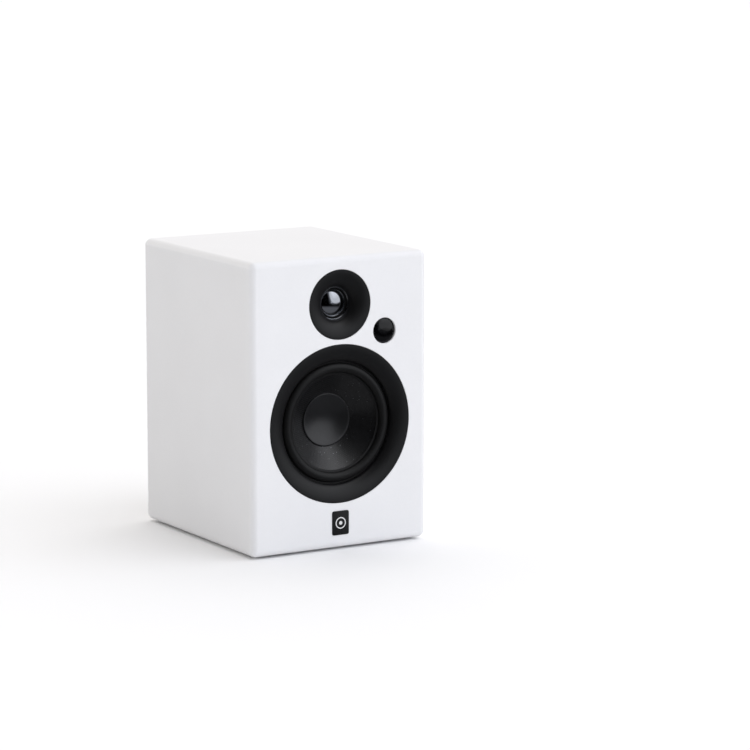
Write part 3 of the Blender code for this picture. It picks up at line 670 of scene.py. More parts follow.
# Silk, doped black: the dome's own suspension, dull enough to read as a dark gap.
DOPED_SILK = Grained("doped_black_silk", "#060606", "#0D0D0E", 0.66, 0.80, grain=0.6, cloud=6, relief=0.01)
# Aluminium foil, drawn and clear anodised: a mirror that is only slightly blurred.
DRAWN_FOIL = Grained(
    "drawn_anodised_foil", "#B4B8BF", "#D3D6DB", 0.05, 0.10, metallic=1.0, grain=0.9, cloud=7, relief=0.002
)
# Aluminium ring, turned and polished on its edge.
TURNED_RING = Banded(
    "diamond_cut_aluminium", "#AEB1B6", "#D8DADD", 0.16, 0.30, metallic=1.0, pitch=0.3, relief=0.006
)
# Acrylic, polished and dyed black: a clear sharp reflection over a body with no colour.
ACRYLIC = Grained(
    "polished_black_acrylic", "#030304", "#060607", 0.03, 0.08, grain=4.0, cloud=9, relief=0.0015
)
# Screen ink: flat, with a slightly uneven edge to its gloss.
WHITE_INK = Grained("screen_printed_ink", "#DADADA", "#F0F0F0", 0.50, 0.66, grain=0.5, cloud=8, relief=0.006)
# Aluminium plate, brushed along its width and black anodised.
BLACK_ANODISED = Grained(
    "brushed_black_anodised_plate",
    "#1A1A1C",
    "#2A2A2D",
    0.34,
    0.50,
    metallic=0.85,
    grain=0.6,
    cloud=35,
    relief=0.01,
    stretch=(0.03, 1.0, 1.0),
)
# Steel, zinc plated and clear passivated: cool grey with cloudy patches.
ZINC = Grained(
    "zinc_plated_steel", "#9A9DA2", "#C3C6CA", 0.26, 0.42, metallic=1.0, grain=1.6, cloud=12, relief=0.006
)
# Nickel on brass, barrel plated: warm grey and bright.
NICKEL = Grained(
    "nickel_plated_brass", "#B3AEA4", "#D2CEC6", 0.14, 0.26, metallic=1.0, grain=0.8, cloud=6, relief=0.003
)
# Gold flash on machined brass, with faint tool marks.
GOLD = Banded("gold_flashed_brass", "#B98A38", "#E2BC6A", 0.16, 0.28, metallic=1.0, pitch=0.35, relief=0.008)
# Steel, black passivated: dark with a metal sheen.
BLACK_STEEL = Grained(
    "black_passivated_steel", "#1B1C1E", "#303236", 0.36, 0.52, metallic=0.8, grain=1.2, cloud=16, relief=0.01
)
# Ferrite, sintered and ground: dull, dark and pitted.
FERRITE = Grained("sintered_ferrite", "#202124", "#34353A", 0.66, 0.84, grain=0.9, cloud=20, relief=0.05)
# Enamelled copper wire, wound turn by turn.
WINDING = Banded(
    "enamelled_copper_winding", "#7A3216", "#C76B36", 0.24, 0.40, metallic=0.9, pitch=0.9, relief=0.12
)
# Cotton dipped in phenolic resin: an amber open weave.
SPIDER_CLOTH = Woven("phenolic_dipped_cotton", "#6E4A16", "#C08E3C", 0.62, 0.80, thread=0.9, relief=0.15)
# Polyester wadding: pale, soft, with no highlight.
WADDING = Grained(
    "carded_polyester_wadding", "#C9C7BF", "#EFEDE6", 0.88, 0.98, grain=1.6, cloud=25, relief=0.9
)
# Medium-density fibreboard, sawn: brown with fine fibres.
RAW_BOARD = Grained("sawn_fibreboard", "#8A6845", "#B18D63", 0.80, 0.92, grain=1.2, cloud=30, relief=0.06)
# Solder mask over etched copper on a glass-fibre board.
SOLDER_MASK = Etched("green_solder_mask", "#0B3A1E", "#14552D", 0.26, 0.42)
# Aluminium, extruded: die lines along its length.
EXTRUSION = Banded(
    "extruded_aluminium", "#A4A7AB", "#CDD0D3", 0.30, 0.44, metallic=1.0, pitch=1.1, relief=0.02, along="X"
)
# Nylon controls and sockets, moulded black, with a finer grain than the front trim.
BLACK_NYLON = Grained(
    "moulded_black_nylon", "#0D0D0E", "#18181A", 0.38, 0.52, grain=0.6, cloud=10, relief=0.008
)
# ABS dyed red, and the white of the left channel, moulded glossy.
RED_ABS = Grained("moulded_red_abs", "#8E0B10", "#B3141A", 0.22, 0.34, grain=1.0, cloud=9, relief=0.004)
WHITE_ABS = Grained("moulded_white_abs", "#D9D9D6", "#EFEFEC", 0.26, 0.38, grain=1.0, cloud=9, relief=0.004)
# PVC sheath, extruded: soft gloss, slightly wavy.
SHEATH = Banded("extruded_red_sheath", "#6E0C0C", "#8F1515", 0.34, 0.46, pitch=2.4, relief=0.03)
# Thermoplastic rubber of the feet: matt, with a moulded grain.
FOOT_RUBBER = Grained(
    "moulded_foot_rubber", "#101011", "#1C1C1D", 0.62, 0.78, grain=0.9, cloud=8, relief=0.03
)
# Seamless studio paper.
PAPER = Grained("studio_paper", "#FBFBFB", "#FDFDFD", 0.82, 0.90, grain=6, cloud=300, relief=0.01)


def settle(
    piece: Piece, finish: Finish, body: Body = Body.CABINET, replaced: Sequence[str] = ()
) -> Piece:
    """Dresses a finished piece and makes it ride on its body.

    Args:
        piece: The piece, in place.
        finish: Its surface.
        body: The body that it moves with.
        replaced: The solids that it stands for.

    Returns:
        The piece.
    """
    piece.data.materials.clear()
    piece.data.materials.append(finish.material())
    if replaced:
        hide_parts(*replaced)
    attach(piece, body.value)
    LOG.info("%s: %s, on %s", piece.name, finish.name, body.value)
    return piece


def settle_between(piece: Piece, finish: Finish, moving: Body) -> None:
    """Dresses a ring that lies between the cabinet, at its outer edge, and a diaphragm, at its inner edge,
    and puts its place into its mesh.

    Args:
        piece: The ring, named for the solid it stands for.
        finish: Its surface.
        moving: The diaphragm's body.
    """
    piece.data.materials.clear()
    piece.data.materials.append(finish.material())
    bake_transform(piece)
    LOG.info("%s: %s, between the cabinet and %s", piece.name, finish.name, moving.value)


# Cabinet --------------------------------------------------------------------------------------------------


@dataclass
class Cabinet:
    """The lacquered box and its feet."""

    edge: float = 6.5
    board: float = 15.0
    baffle: float = 20.0
    woofer_bore: float = 76.4
    tweeter_bore: float = 33.5
    window_bore: float = 12.45
    port_bore: float = 31.3
    lip: float = 0.35
    badge_pocket: Point = (18.6, 23.6)
    plate_recess: Point = (130.5, 150.5)
    plate_opening: Point = (112.0, 132.0)
    foot_wall: float = 2.0
    foot_dish: float = 0.4
    feet: tuple[str, ...] = ("foot_front_left", "foot_front_right", "foot_rear_left", "foot_rear_right")

    def build(self) -> None:
        """Builds and dresses the box and the feet."""
        boards = ("front_baffle", "rear_panel", "top_panel", "bottom_panel", "left_panel", "right_panel")
        settle(self.shell(), LACQUER, replaced=boards)
        self.build_feet()

    def shell(self) -> Piece:
        """One seamless box: rounded all over, hollow, with the openings of both faces."""
        (low, front_high), (_, high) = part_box("front_baffle"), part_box("rear_panel")
        low, high = Vector((low.x, low.y, low.z)), Vector((high.x, high.y, front_high.z))
        shell = block("cabinet_shell", low, high)
        modify(shell, "BEVEL", width=self.edge * MM, segments=10)
        inset = Vector((self.board, self.board, self.board)) * MM
        inner_low, inner_high = low + inset, high - inset
        inner_low.y = low.y + self.baffle * MM
        carve(shell, block("cavity", inner_low, inner_high), *self.front_cutters(), *self.rear_cutters())
        shade(shell, 40)
        return modify(shell, "WEIGHTED_NORMAL", keep_sharp=True)

    def mouth(self, name: str, seat: Seat, steps: Sequence[Point], sides: int = FINE) -> Piece:
        """A stepped round cutter whose first edge leaves a small rounding in the lacquer.

        Args:
            name: The cutter's name.
            seat: Its axis.
            steps: The radius of each step and the depth that it goes down to.
            sides: The number of sides.

        Returns:
            The cutter.
        """
        radius, lip = steps[0][0], self.lip
        profile = [(0.0, -1.0), (radius + lip, -1.0), (radius + lip, 0.0)]
        profile += [
            (radius + lip * (1 - math.sin(t)), lip * (1 - math.cos(t)))
            for t in (math.pi / 8, math.pi / 4, 3 * math.pi / 8, math.pi / 2)
        ]
        for (inside, deep), (narrower, _) in pairwise([*steps, (0.0, 0.0)]):
            profile += [(inside, deep), (narrower, deep)]
        return turned(name, profile, seat, sides)

    def front_cutters(self) -> list[Piece]:
        """Cutters for the drivers, the window and the badge."""
        through = self.baffle + 1
        badge = front_seat("badge")
        return [
            self.mouth(
                "woofer_mouth",
                front_seat("woofer_trim_ring"),
                [(self.woofer_bore, 3.3), (68.4, 12.6), (62.5, through)],
            ),
            self.mouth(
                "tweeter_mouth", front_seat("tweeter_waveguide"), [(self.tweeter_bore, 3.3), (24.7, through)]
            ),
            self.mouth(
                "window_mouth", front_seat("remote_window"), [(self.window_bore, 6.3), (9.0, through)], PLAIN
            ),
            rounded_plate("badge_pocket", badge, self.badge_pocket, 2.0, (-1.0, 0.9)),
        ]

    def rear_cutters(self) -> list[Piece]:
        """Cutters for the bass port and the amplifier plate."""
        through = self.board + 1
        plate = rear_seat("amp_plate")
        return [
            self.mouth("port_mouth", rear_seat("bass_port"), [(self.port_bore, 2.3), (23.6, through)]),
            rounded_plate("plate_recess", plate, self.plate_recess, 6.2, (-1.0, 3.3)),
            rounded_plate("plate_opening", plate, self.plate_opening, 3.0, (0.0, through)),
        ]

    def build_feet(self) -> None:
        """Four dished rubber pads, modelled once and copied."""
        low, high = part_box(self.feet[0])
        radius, thick = (high.x - low.x) / 2 / MM, (high.z - low.z) / MM
        bpy.ops.mesh.primitive_cylinder_add(
            vertices=SMALL, radius=radius * MM, depth=thick * MM, location=(low + high) / 2
        )
        first = claim("rubber_foot")
        with editing(first, "FACE", "DESELECT"):
            choose_faces(first, lambda centre, normal: normal.z < -SQUARE_TO)
            bpy.ops.mesh.inset(thickness=self.foot_wall * MM)
            bpy.ops.mesh.extrude_region_move(TRANSFORM_OT_translate={"value": (0, 0, self.foot_dish * MM)})
        shade(soften_edges(first, 0.25, 2))
        middle = (low + high) / 2
        for node in self.feet:
            node_low, node_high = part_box(node)
            pad = copied(first, node + "_pad", (node_low + node_high) / 2 - middle)
            settle(pad, FOOT_RUBBER, replaced=[node])
        bpy.data.objects.remove(first)


# Drivers --------------------------------------------------------------------------------------------------


@dataclass
class Woofer:
    """The woofer's trim ring, surround, cone, dust cap and spider."""

    ring: float = 76.2
    land: float = 0.7
    throat: float = 59.2
    ring_depth: float = 8.0
    roll: float = 52.8
    roll_half: float = 4.9
    roll_height: float = 4.2
    base: float = 9.6
    cone: float = 46.6
    cone_depth: float = 10.8
    neck: float = 16.0
    neck_depth: float = 33.4
    sag: float = 0.7
    wall: float = 0.5
    cap: float = 25.2
    cap_depth: float = 25.5
    dish: float = 4.9
    seat: Seat = field(default_factory=lambda: front_seat("woofer_trim_ring"))

    def build(self) -> None:
        """Builds and dresses the five pieces."""
        settle(self.trim_ring(), SATIN_ABS, replaced=["woofer_trim_ring"])
        settle_between(
            self.surround(),
            BUTYL,
            Body.WOOFER,
        )
        settle(self.cone_shell(), GLASS_CLOTH, Body.WOOFER, ["woofer_cone"])
        settle(self.dust_cap(), COATED_DISH, Body.WOOFER, ["woofer_dust_cap"])
        settle_between(self.spider(), SPIDER_CLOTH, Body.WOOFER)

    def trim_ring(self) -> Piece:
        """The deep ring: a flare that falls from the flush rim to the throat, and a stepped back."""
        fall = flare(self.ring - self.land, self.throat, self.ring_depth, 18)[1:]
        back = [
            (self.ring, 0.0, 0.5),
            (self.ring, 3.0, 0.3),
            (68.0, 3.0, 0.3),
            (66.0, 4.6, 1.0),
            (62.2, 7.2, 1.0),
            (61.2, 9.2, 0.3),
            (self.throat + 0.1, 9.2, 0.4),
        ]
        step = (self.throat, self.ring_depth + 0.2, 0.3)
        return turned("woofer_bezel", rounded([*back, step, *fall]), self.seat)

    def surround(self) -> Piece:
        """The half roll, with a glued foot on each side."""
        steps, wall, foot = 20, 0.6, 0.3
        outside = arch(self.roll, self.roll_half, self.base, self.roll_height, steps)
        inside = arch(self.roll, wall - self.roll_half, self.base + foot, self.roll_height - wall, steps)
        profile = [(45.9, 10.1), *outside, (61.5, 9.5), (61.5, 10.0), *inside, (45.9, 10.6)]
        piece = turned("woofer_half_roll", profile, self.seat)
        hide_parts("woofer_surround")
        return piece

    def cone_shell(self) -> Piece:
        """The cone, very slightly flared, with its back wall."""
        steps = 14
        front = []
        for i in range(steps + 1):
            t = i / steps
            radius = self.cone + (self.neck - self.cone) * t
            sag = self.sag * math.sin(math.pi * t)
            front.append((radius, self.cone_depth + (self.neck_depth - self.cone_depth) * t + sag))
        back = [(radius + self.wall, depth + self.wall) for radius, depth in reversed(front)]
        back[0] = (self.neck, self.neck_depth + 0.8)
        profile = [(48.4, 10.9), *front, *back[:-1], (48.4, 11.6)]
        return turned("woofer_cone_shell", profile, self.seat)

    def dust_cap(self) -> Piece:
        """The dished cap: a rolled rim glued to the cone, falling to a smooth hollow."""
        steps, wall = 16, 0.7
        bowl = [
            (self.cap * 0.98 * i / steps, self.cap_depth + 0.15 + self.dish * (1 - (i / steps) ** 2) ** 1.15)
            for i in range(steps + 1)
        ]
        lip = [(-0.15, 0.15), (0.2, 0.35), (0.55, 0.8), (0.85, 1.25), (0.6, 1.5), (-0.3, 1.3)]
        rim = [(self.cap + out, self.cap_depth + down) for out, down in lip]
        under = [(radius, depth + wall) for radius, depth in reversed(bowl)]
        return turned("woofer_dished_cap", [*bowl, *rim, *under], self.seat, angle=40)

    def spider(self) -> Piece:
        """The corrugated suspension behind the cone."""
        inner, outer, middle, wave, cloth, folds, steps = 15.9, 43.4, 37.3, 0.9, 0.5, 7, 56
        top = []
        for i in range(steps + 1):
            t = i / steps
            swell = wave * math.sin(math.pi * t) ** 0.25 if 0 < t < 1 else 0.0
            top.append((inner + (outer - inner) * t, middle + swell * math.sin(FULL_TURN * folds * t)))
        bottom = [(radius, depth + cloth) for radius, depth in reversed(top)]
        piece = turned("woofer_corrugated_spider", [*top, *bottom], self.seat, PLAIN, 60)
        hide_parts("woofer_spider")
        return piece


@dataclass
class Tweeter:
    """The waveguide, its throat ring, the dome and its surround."""

    rim: float = 33.3
    land: float = 0.7
    throat: float = 15.4
    depth: float = 11.1
    dome: float = 12.5
    rise: float = 3.5
    apex: float = 10.0
    foil: float = 0.3
    seat: Seat = field(default_factory=lambda: front_seat("tweeter_waveguide"))

    def build(self) -> None:
        """Builds and dresses the four pieces."""
        settle(self.waveguide(), SATIN_ABS, replaced=["tweeter_waveguide"])
        settle(self.throat_ring(), TURNED_RING)
        settle(self.dome_cap(), DRAWN_FOIL, Body.TWEETER, ["tweeter_dome"])
        settle_between(self.surround(), DOPED_SILK, Body.TWEETER)

    def waveguide(self) -> Piece:
        """The horn: flush at its rim, steep at its throat, with a tube behind it."""
        fall = flare(self.rim - self.land, self.throat, self.depth, 20)[1:]
        back = [
            (self.rim, 0.0, 0.5),
            (self.rim, 3.0, 0.3),
            (24.3, 3.0, 0.5),
            (24.3, 16.7, 0.3),
            (15.9, 16.7, 0.2),
            (15.9, 11.7, 0.1),
            (self.throat + 0.1, 11.3, 0.1),
        ]
        return turned("tweeter_horn", rounded([*back, *fall]), self.seat)

    def throat_ring(self) -> Piece:
        """A thin bright ring let into the throat, with a bevel that faces inward and forward."""
        corners = [
            (15.55, 11.4, 0.05),
            (14.95, 12.1, 0.1),
            (14.95, 12.7, 0.1),
            (15.85, 12.7, 0.05),
            (15.85, 11.75, 0.05),
        ]
        return turned("tweeter_throat_ring", rounded(corners), self.seat, PLAIN)

    def dome_cap(self) -> Piece:
        """The metal dome: a shallow cap of a sphere with a short skirt."""
        sphere = (self.dome**2 + self.rise**2) / (2 * self.rise)
        middle, half, steps = self.apex + sphere, math.asin(self.dome / sphere), 20
        outside, inside = (
            [
                (r * math.sin(half * i / steps), middle - r * math.cos(half * i / steps))
                for i in range(steps + 1)
            ]
            for r in (sphere, sphere - self.foil)
        )
        rim = self.apex + self.rise
        skirt = [(self.dome + 0.15, rim - 0.12), (self.dome + 0.25, rim + 0.1), (self.dome - 0.2, rim + 0.4)]
        return turned("tweeter_metal_dome", [*outside, *skirt, *reversed(inside)], self.seat)

    def surround(self) -> Piece:
        """A small roll between the dome and its frame."""
        over = arch(13.75, 0.75, 13.4, 0.45, 8)
        under = [(radius, depth + 0.4) for radius, depth in reversed(over)]
        piece = turned(
            "tweeter_half_roll", [*over, (15.5, 13.4), (15.5, 13.85), *under], self.seat, PLAIN, 50
        )
        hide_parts("tweeter_surround")
        return piece


# Front details --------------------------------------------------------------------------------------------


@dataclass
class FrontTrim:
    """The remote-control window and the badge."""

    lens: float = 12.25
    rim: float = 0.3
    crown: float = 0.35
    fall: float = 2.1
    badge: Point = (18.2, 23.2)
    badge_corner: float = 1.8
    badge_half: float = 0.6
    mark_radius: float = 5.6
    mark_width: float = 1.0
    dot_radius: float = 1.8
    ink: float = 0.05

    def build(self) -> None:
        """Builds and dresses the window, the badge and its mark."""
        settle(self.window(), ACRYLIC, replaced=["remote_window"])
        seat = front_seat("badge")
        depths = (-self.badge_half, self.badge_half)
        plate = rounded_plate("badge_plate", seat, self.badge, self.badge_corner, depths, 0.25)
        settle(plate, SATIN_ABS, replaced=["badge"])
        settle(self.mark(seat), WHITE_INK)

    def window(self) -> Piece:
        """A round lens, crowned like a watch glass."""
        steps = 14
        reach = self.lens - self.rim
        face = [(reach * i / steps, -self.crown + self.fall * (i / steps) ** 3) for i in range(steps + 1)]
        edge = [(self.lens, 1.9), (self.lens, 6.0), (0.0, 6.0)]
        return turned("window_lens", [*face, *edge], front_seat("remote_window"), PLAIN, 40)

    def mark(self, seat: Seat) -> Piece:
        """A plain printed ring with a dot in it."""
        face, top = -self.badge_half, -self.badge_half - self.ink
        outer, inner = self.mark_radius, self.mark_radius - self.mark_width
        ring = turned("mark_ring", [(inner, face), (inner, top), (outer, top), (outer, face)], seat, PLAIN)
        dot = turned(
            "mark_dot",
            [(0.0, top), (self.dot_radius, top), (self.dot_radius, face), (0.0, face)],
            seat,
            SMALL,
        )
        return merged("badge_mark", [ring, dot])


# Rear -----------------------------------------------------------------------------------------------------


@dataclass
class BassPort:
    """The flared reflex tube."""

    mouth: float = 31.0
    land: float = 0.5
    bore: float = 18.0
    flare: float = 15.0
    length: float = 99.6

    def build(self) -> None:
        """Builds and dresses the tube."""
        seat = rear_seat("bass_port")
        fall = flare(self.mouth - self.land, self.bore, self.flare, 16)
        back = [(self.mouth, 0.0, 0.4), (self.mouth, 2.0, 0.3), (23.2, 2.0, 0.3), (20.4, 13.0, 2.0)]
        inner_end = [
            (20.4, 92.0, 4.0),
            (23.0, 99.0, 0.3),
            (22.0, self.length, 0.4),
            (19.2, 96.0, 2.0),
            (18.0, 91.0, 3.0),
        ]
        tube = turned("port_tube", rounded([*back, *inner_end, *fall]), seat)
        settle(tube, SATIN_ABS, replaced=["bass_port"])


@dataclass
class AmplifierPlate:
    """The rear plate with its screws and its printed dial scale."""

    size: Point = (130.0, 150.0)
    corner: float = 6.0
    thick: float = 3.0
    screw_inset: float = 5.0
    ticks: int = 11
    tick_radius: float = 12.4
    tick: float = 1.6
    end_tick: float = 2.6
    sweep: float = 270.0

    def build(self) -> None:
        """Builds and dresses the plate, eight screws and the dial scale."""
        self.seat = rear_seat("amp_plate")
        settle(self.plate(), BLACK_ANODISED, replaced=["amp_plate"])
        self.build_screws()
        settle(self.dial_scale(), WHITE_INK)

    def plate(self) -> Piece:
        """The plate with a hole for each thing that it carries."""
        plate = rounded_plate("amplifier_plate", self.seat, self.size, self.corner, (0.0, self.thick), 0.4)
        round_holes = {
            "volume_encoder": 3.9,
            "pair_button": 3.3,
            "aux_jack": 3.3,
            "post_base_red": 4.4,
            "post_base_black": 4.4,
        }
        for node, radius in round_holes.items():
            carve(plate, disc(node + "_hole", rear_seat(node), radius, -1, self.thick + 1))
        for side in (-LINE_SPACING, LINE_SPACING):
            carve(
                plate, disc("line_hole", rear_seat("line_in_jacks").moved(side, 0), 4.5, -1, self.thick + 1)
            )
        square_holes = {
            "mains_inlet": (27.0, 19.0), "switch_frame": (13.2, 19.2), "optical_jack": (13.4, 11.4)
        }
        for node, size in square_holes.items():
            carve(plate, rounded_plate(node + "_hole", rear_seat(node), size, 0.6, (-1.0, self.thick + 1)))
        return shade(plate, 30)

    def build_screws(self) -> None:
        """Eight pan-head screws with a six-sided recess, modelled once and copied."""
        width, height = self.size[0] / 2 - self.screw_inset, self.size[1] / 2 - self.screw_inset
        places = [
            (x, z) for x in (-width, 0.0, width) for z in (-height, 0.0, height) if (x, z) != (0.0, 0.0)
        ]
        profile = rounded(
            [(0.0, -1.5, 0.0), (2.0, -1.5, 0.6), (2.9, -0.3, 0.4), (2.9, -0.02, 0.0), (0.0, -0.02, 0.0)],
            False,
        )
        first = turned("plate_screw", profile, self.seat.moved(*places[0]), SMALL)
        carve(first, disc("hex_recess", self.seat.moved(*places[0]), 1.3, -2.0, -0.6, 6))
        shade(first)
        start = self.seat.at(*places[0], 0)
        for number, place in enumerate(places, 1):
            screw = copied(first, f"plate_screw_{number}", self.seat.at(*place, 0) - start)
            settle(screw, BLACK_STEEL)
        bpy.data.objects.remove(first)

    def dial_scale(self) -> Piece:
        """Printed ticks round the volume knob, longer at both ends."""
        seat, marks = rear_seat("volume_encoder"), []
        for i in range(self.ticks):
            reach = self.end_tick if i in (0, self.ticks - 1) else self.tick
            inner, outer = self.tick_radius, self.tick_radius + reach
            mark = block(f"tick_{i}", seat.at(-0.25, inner, -0.05), seat.at(0.25, outer, 0.0))
            with editing(mark):
                bpy.ops.transform.rotate(
                    value=math.radians(self.sweep * (i / (self.ticks - 1) - 0.5)),
                    orient_axis="Y",
                    center_override=seat.at(0, 0, 0),
                )
            marks.append(mark)
        return merged("dial_scale", marks)


@dataclass
class Controls:
    """The volume knob, the pairing button and the power rocker."""

    knob: float = 9.2
    ribs: int = 30
    paddle_half: float = 5.1
    tilt: float = 8.0

    def build(self) -> None:
        """Builds and dresses the controls."""
        self.build_knob()
        self.build_button()
        self.build_rocker()

    def build_knob(self) -> None:
        """A ribbed knob with a dished end and a printed pointer, on a steel shaft."""
        seat = rear_seat("volume_knob")
        corners = [
            (0.0, -16.6, 0.0),
            (6.6, -16.6, 1.0),
            (7.4, -17.0, 0.4),
            (8.6, -17.0, 0.6),
            (self.knob, -15.4, 0.5),
            (self.knob, -2.2, 0.4),
            (9.6, -1.6, 0.3),
            (9.6, -1.2, 0.1),
            (8.4, -1.2, 0.1),
            (8.4, -5.0, 0.3),
            (3.05, -5.0, 0.1),
            (3.05, -14.0, 0.0),
            (0.0, -14.0, 0.0),
        ]
        knob = turned("volume_dial", rounded(corners, False), seat, 2 * self.ribs)
        ribbed(knob, seat, self.ribs, 0.35, (-15.0, -2.4))
        settle(knob, BLACK_NYLON, Body.KNOB, ["volume_knob"])
        pointer = block("volume_pointer", seat.at(-0.45, 2.6, -16.65), seat.at(0.45, 6.4, -16.4), 0.1)
        settle(pointer, WHITE_INK, Body.KNOB)

    def build_button(self) -> None:
        """A round button with a shallow dish for the fingertip."""
        corners = [
            (0.0, -1.2, 0.0),
            (1.6, -1.3, 1.0),
            (2.4, -1.6, 0.3),
            (3.0, -1.2, 0.4),
            (3.0, 3.4, 0.1),
            (4.2, 3.4, 0.2),
            (4.2, 4.4, 0.2),
            (0.0, 4.4, 0.0),
        ]
        button = turned("pairing_button", rounded(corners, False), rear_seat("pair_button"), SMALL)
        settle(button, BLACK_NYLON, Body.BUTTON, ["pair_button"])

    def build_rocker(self) -> None:
        """The rocker in its frame, tilted to off, with the usual line and ring printed on its ends."""
        seat = rear_seat("switch_frame")
        frame_piece = rounded_plate("rocker_frame", seat, (12.6, 18.6), 0.8, (-1.0, 14.0))
        flange = rounded_plate("rocker_flange", seat, (15.0, 21.0), 1.2, (-1.8, -0.3), 0.3)
        well = rounded_plate("rocker_well", seat, (10.8, 17.2), 0.5, (-4.0, 9.0))
        carve(frame_piece, flange, operation="UNION")
        settle(shade(carve(frame_piece, well)), BLACK_NYLON, replaced=["switch_frame"])

        pivot = seat.at(0, 0, 2.5)
        face = [(-8.0, 4.5), (-3.5, 3.4), (0.0, 3.0), (3.5, 3.4), (8.0, 4.5)]
        under = [(6.8, -1.2), (4.0, -3.0), (-4.0, -3.0), (-6.8, -1.2)]
        outline = [pivot + Vector((-self.paddle_half, out, up)) * MM for up, out in face + under]
        rocker = chain("power_paddle", [*outline, outline[0]])
        with editing(rocker):
            bpy.ops.mesh.remove_doubles(threshold=WELD)
            bpy.ops.mesh.edge_face_add()
            bpy.ops.mesh.extrude_region_move(
                TRANSFORM_OT_translate={"value": (2 * self.paddle_half * MM, 0, 0)}
            )
            bpy.ops.mesh.select_all(action="SELECT")
            bpy.ops.mesh.normals_make_consistent(inside=False)
        soften_edges(rocker, 0.3, 3, 20)
        line = block(
            "line_mark", pivot + Vector((-0.3, 3.62, 4.2)) * MM, pivot + Vector((0.3, 3.7, 6.6)) * MM
        )
        marks = merged("paddle_marks", [line, self.ring_mark(pivot)])
        for piece in (rocker, marks):
            with editing(piece):
                bpy.ops.transform.rotate(
                    value=-math.radians(self.tilt), orient_axis="X", center_override=pivot
                )
        settle(shade(rocker, 30), BLACK_NYLON, Body.ROCKER, ["power_rocker"])
        settle(marks, WHITE_INK, Body.ROCKER)

    def ring_mark(self, pivot: Vector) -> Piece:
        """The printed ring of the rocker's lower end."""
        seat = Seat(pivot.x, pivot.y, pivot.z - 5.4 * MM, -1.0)
        return turned("ring_mark", [(0.8, -3.62), (0.8, -3.72), (1.3, -3.72), (1.3, -3.62)], seat, SMALL)


@dataclass
class Sockets:
    """The mains inlet, the signal sockets and the optical flap."""

    def build(self) -> None:
        """Builds and dresses the sockets."""
        self.build_inlet()
        self.build_line_jacks()
        self.build_aux()
        self.build_optical()

    def build_inlet(self) -> None:
        """A three-pin inlet: flange, keyed recess and bright flat pins."""
        seat = rear_seat("mains_inlet")
        body = rounded_plate("inlet_body", seat, (26.4, 18.4), 1.0, (-1.0, 18.0))
        flange = rounded_plate("inlet_flange", seat, (30.0, 24.0), 2.0, (-2.0, -0.3), 0.4)
        carve(body, flange, operation="UNION")
        recess = block("inlet_recess", seat.at(-11.8, -7.8, -4.0), seat.at(11.8, 7.8, 14.0))
        with editing(recess, "EDGE", "DESELECT"):
            top = seat.at(0, 0, 0).z
            choose_edges(recess, lambda a, b: abs(a.y - b.y) > WELD and a.z > top)
            bpy.ops.mesh.bevel(offset=3.4 * MM, segments=1, affect="EDGES")
        settle(shade(carve(body, recess)), BLACK_NYLON, replaced=["mains_inlet"])
        for number, (across, up) in enumerate(((-7.0, -2.0), (7.0, -2.0), (0.0, 2.0)), 1):
            low, high = seat.at(across - 1, up - 2, 1.0), seat.at(across + 1, up + 2, 14.5)
            settle(block(f"inlet_blade_{number}", low, high, 0.35, 3), NICKEL)

    def build_line_jacks(self) -> None:
        """Two phono jacks in one block: bright shells, a white and a red insulator."""
        seat = rear_seat("line_in_jacks")
        body = block("line_jack_block", seat.at(-17, -6.5, 3.3), seat.at(17, 6.5, 12.3), 0.5)
        settle(body, BLACK_NYLON, replaced=["line_in_jacks"])
        shell = tube(4.15, 3.6, -8.5, 3.2, (0.3, 0.0, 0.0, 0.1))
        plug = tube(3.55, 1.7, -7.9, 3.2, (0.2, 0.0, 0.0, 0.4))
        collar = tube(5.6, 4.2, -1.0, -0.05, (0.4, 0.0, 0.0, 0.1))
        for side, across, colour in (("left", -LINE_SPACING, RED_ABS), ("right", LINE_SPACING, WHITE_ABS)):
            here = seat.moved(across, 0)
            settle(turned(f"phono_shell_{side}", shell, here, PLAIN), NICKEL)
            settle(turned(f"phono_insert_{side}", plug, here, SMALL), colour)
            settle(turned(f"phono_collar_{side}", collar, here, PLAIN), colour)

    def build_aux(self) -> None:
        """A small jack: body, bored nose, and the nut that holds it."""
        seat = rear_seat("aux_jack")
        body = block("aux_body", seat.at(-5.5, -5.5, 3.3), seat.at(5.5, 5.5, 16.3), 0.4)
        settle(body, BLACK_NYLON, replaced=["aux_jack"])
        nose = tube(3.0, 1.8, -1.5, 3.2, (0.3, 0.0, 0.0, 0.3))
        settle(turned("aux_nose", nose, seat, SMALL), NICKEL)
        nut = tube(4.9, 3.05, -1.0, -0.05, (0.3, 0.0, 0.0, 0.1))
        settle(turned("aux_nut", nut, seat, 6, 20), NICKEL)

    def build_optical(self) -> None:
        """A square socket closed by a sprung flap with a shallow panel in it."""
        seat = rear_seat("optical_jack")
        body = rounded_plate("optical_body", seat, (13.0, 11.0), 0.8, (-0.5, 14.0), 0.25)
        well = rounded_plate("optical_well", seat, (8.6, 8.6), 0.4, (-2.0, 10.5))
        settle(shade(carve(body, well)), BLACK_NYLON, replaced=["optical_jack"])
        flap = block("optical_shutter", seat.at(-4, -4, 0.6), seat.at(4, 4, 1.4))
        with editing(flap, "FACE", "DESELECT"):
            choose_faces(flap, lambda centre, normal: normal.y > SQUARE_TO)
            bpy.ops.mesh.inset(thickness=1.2 * MM)
            bpy.ops.mesh.extrude_region_move(TRANSFORM_OT_translate={"value": (0, -0.2 * MM, 0)})
        shade(soften_edges(flap, 0.12))
        settle(flap, BLACK_NYLON, Body.FLAP, ["optical_flap"])


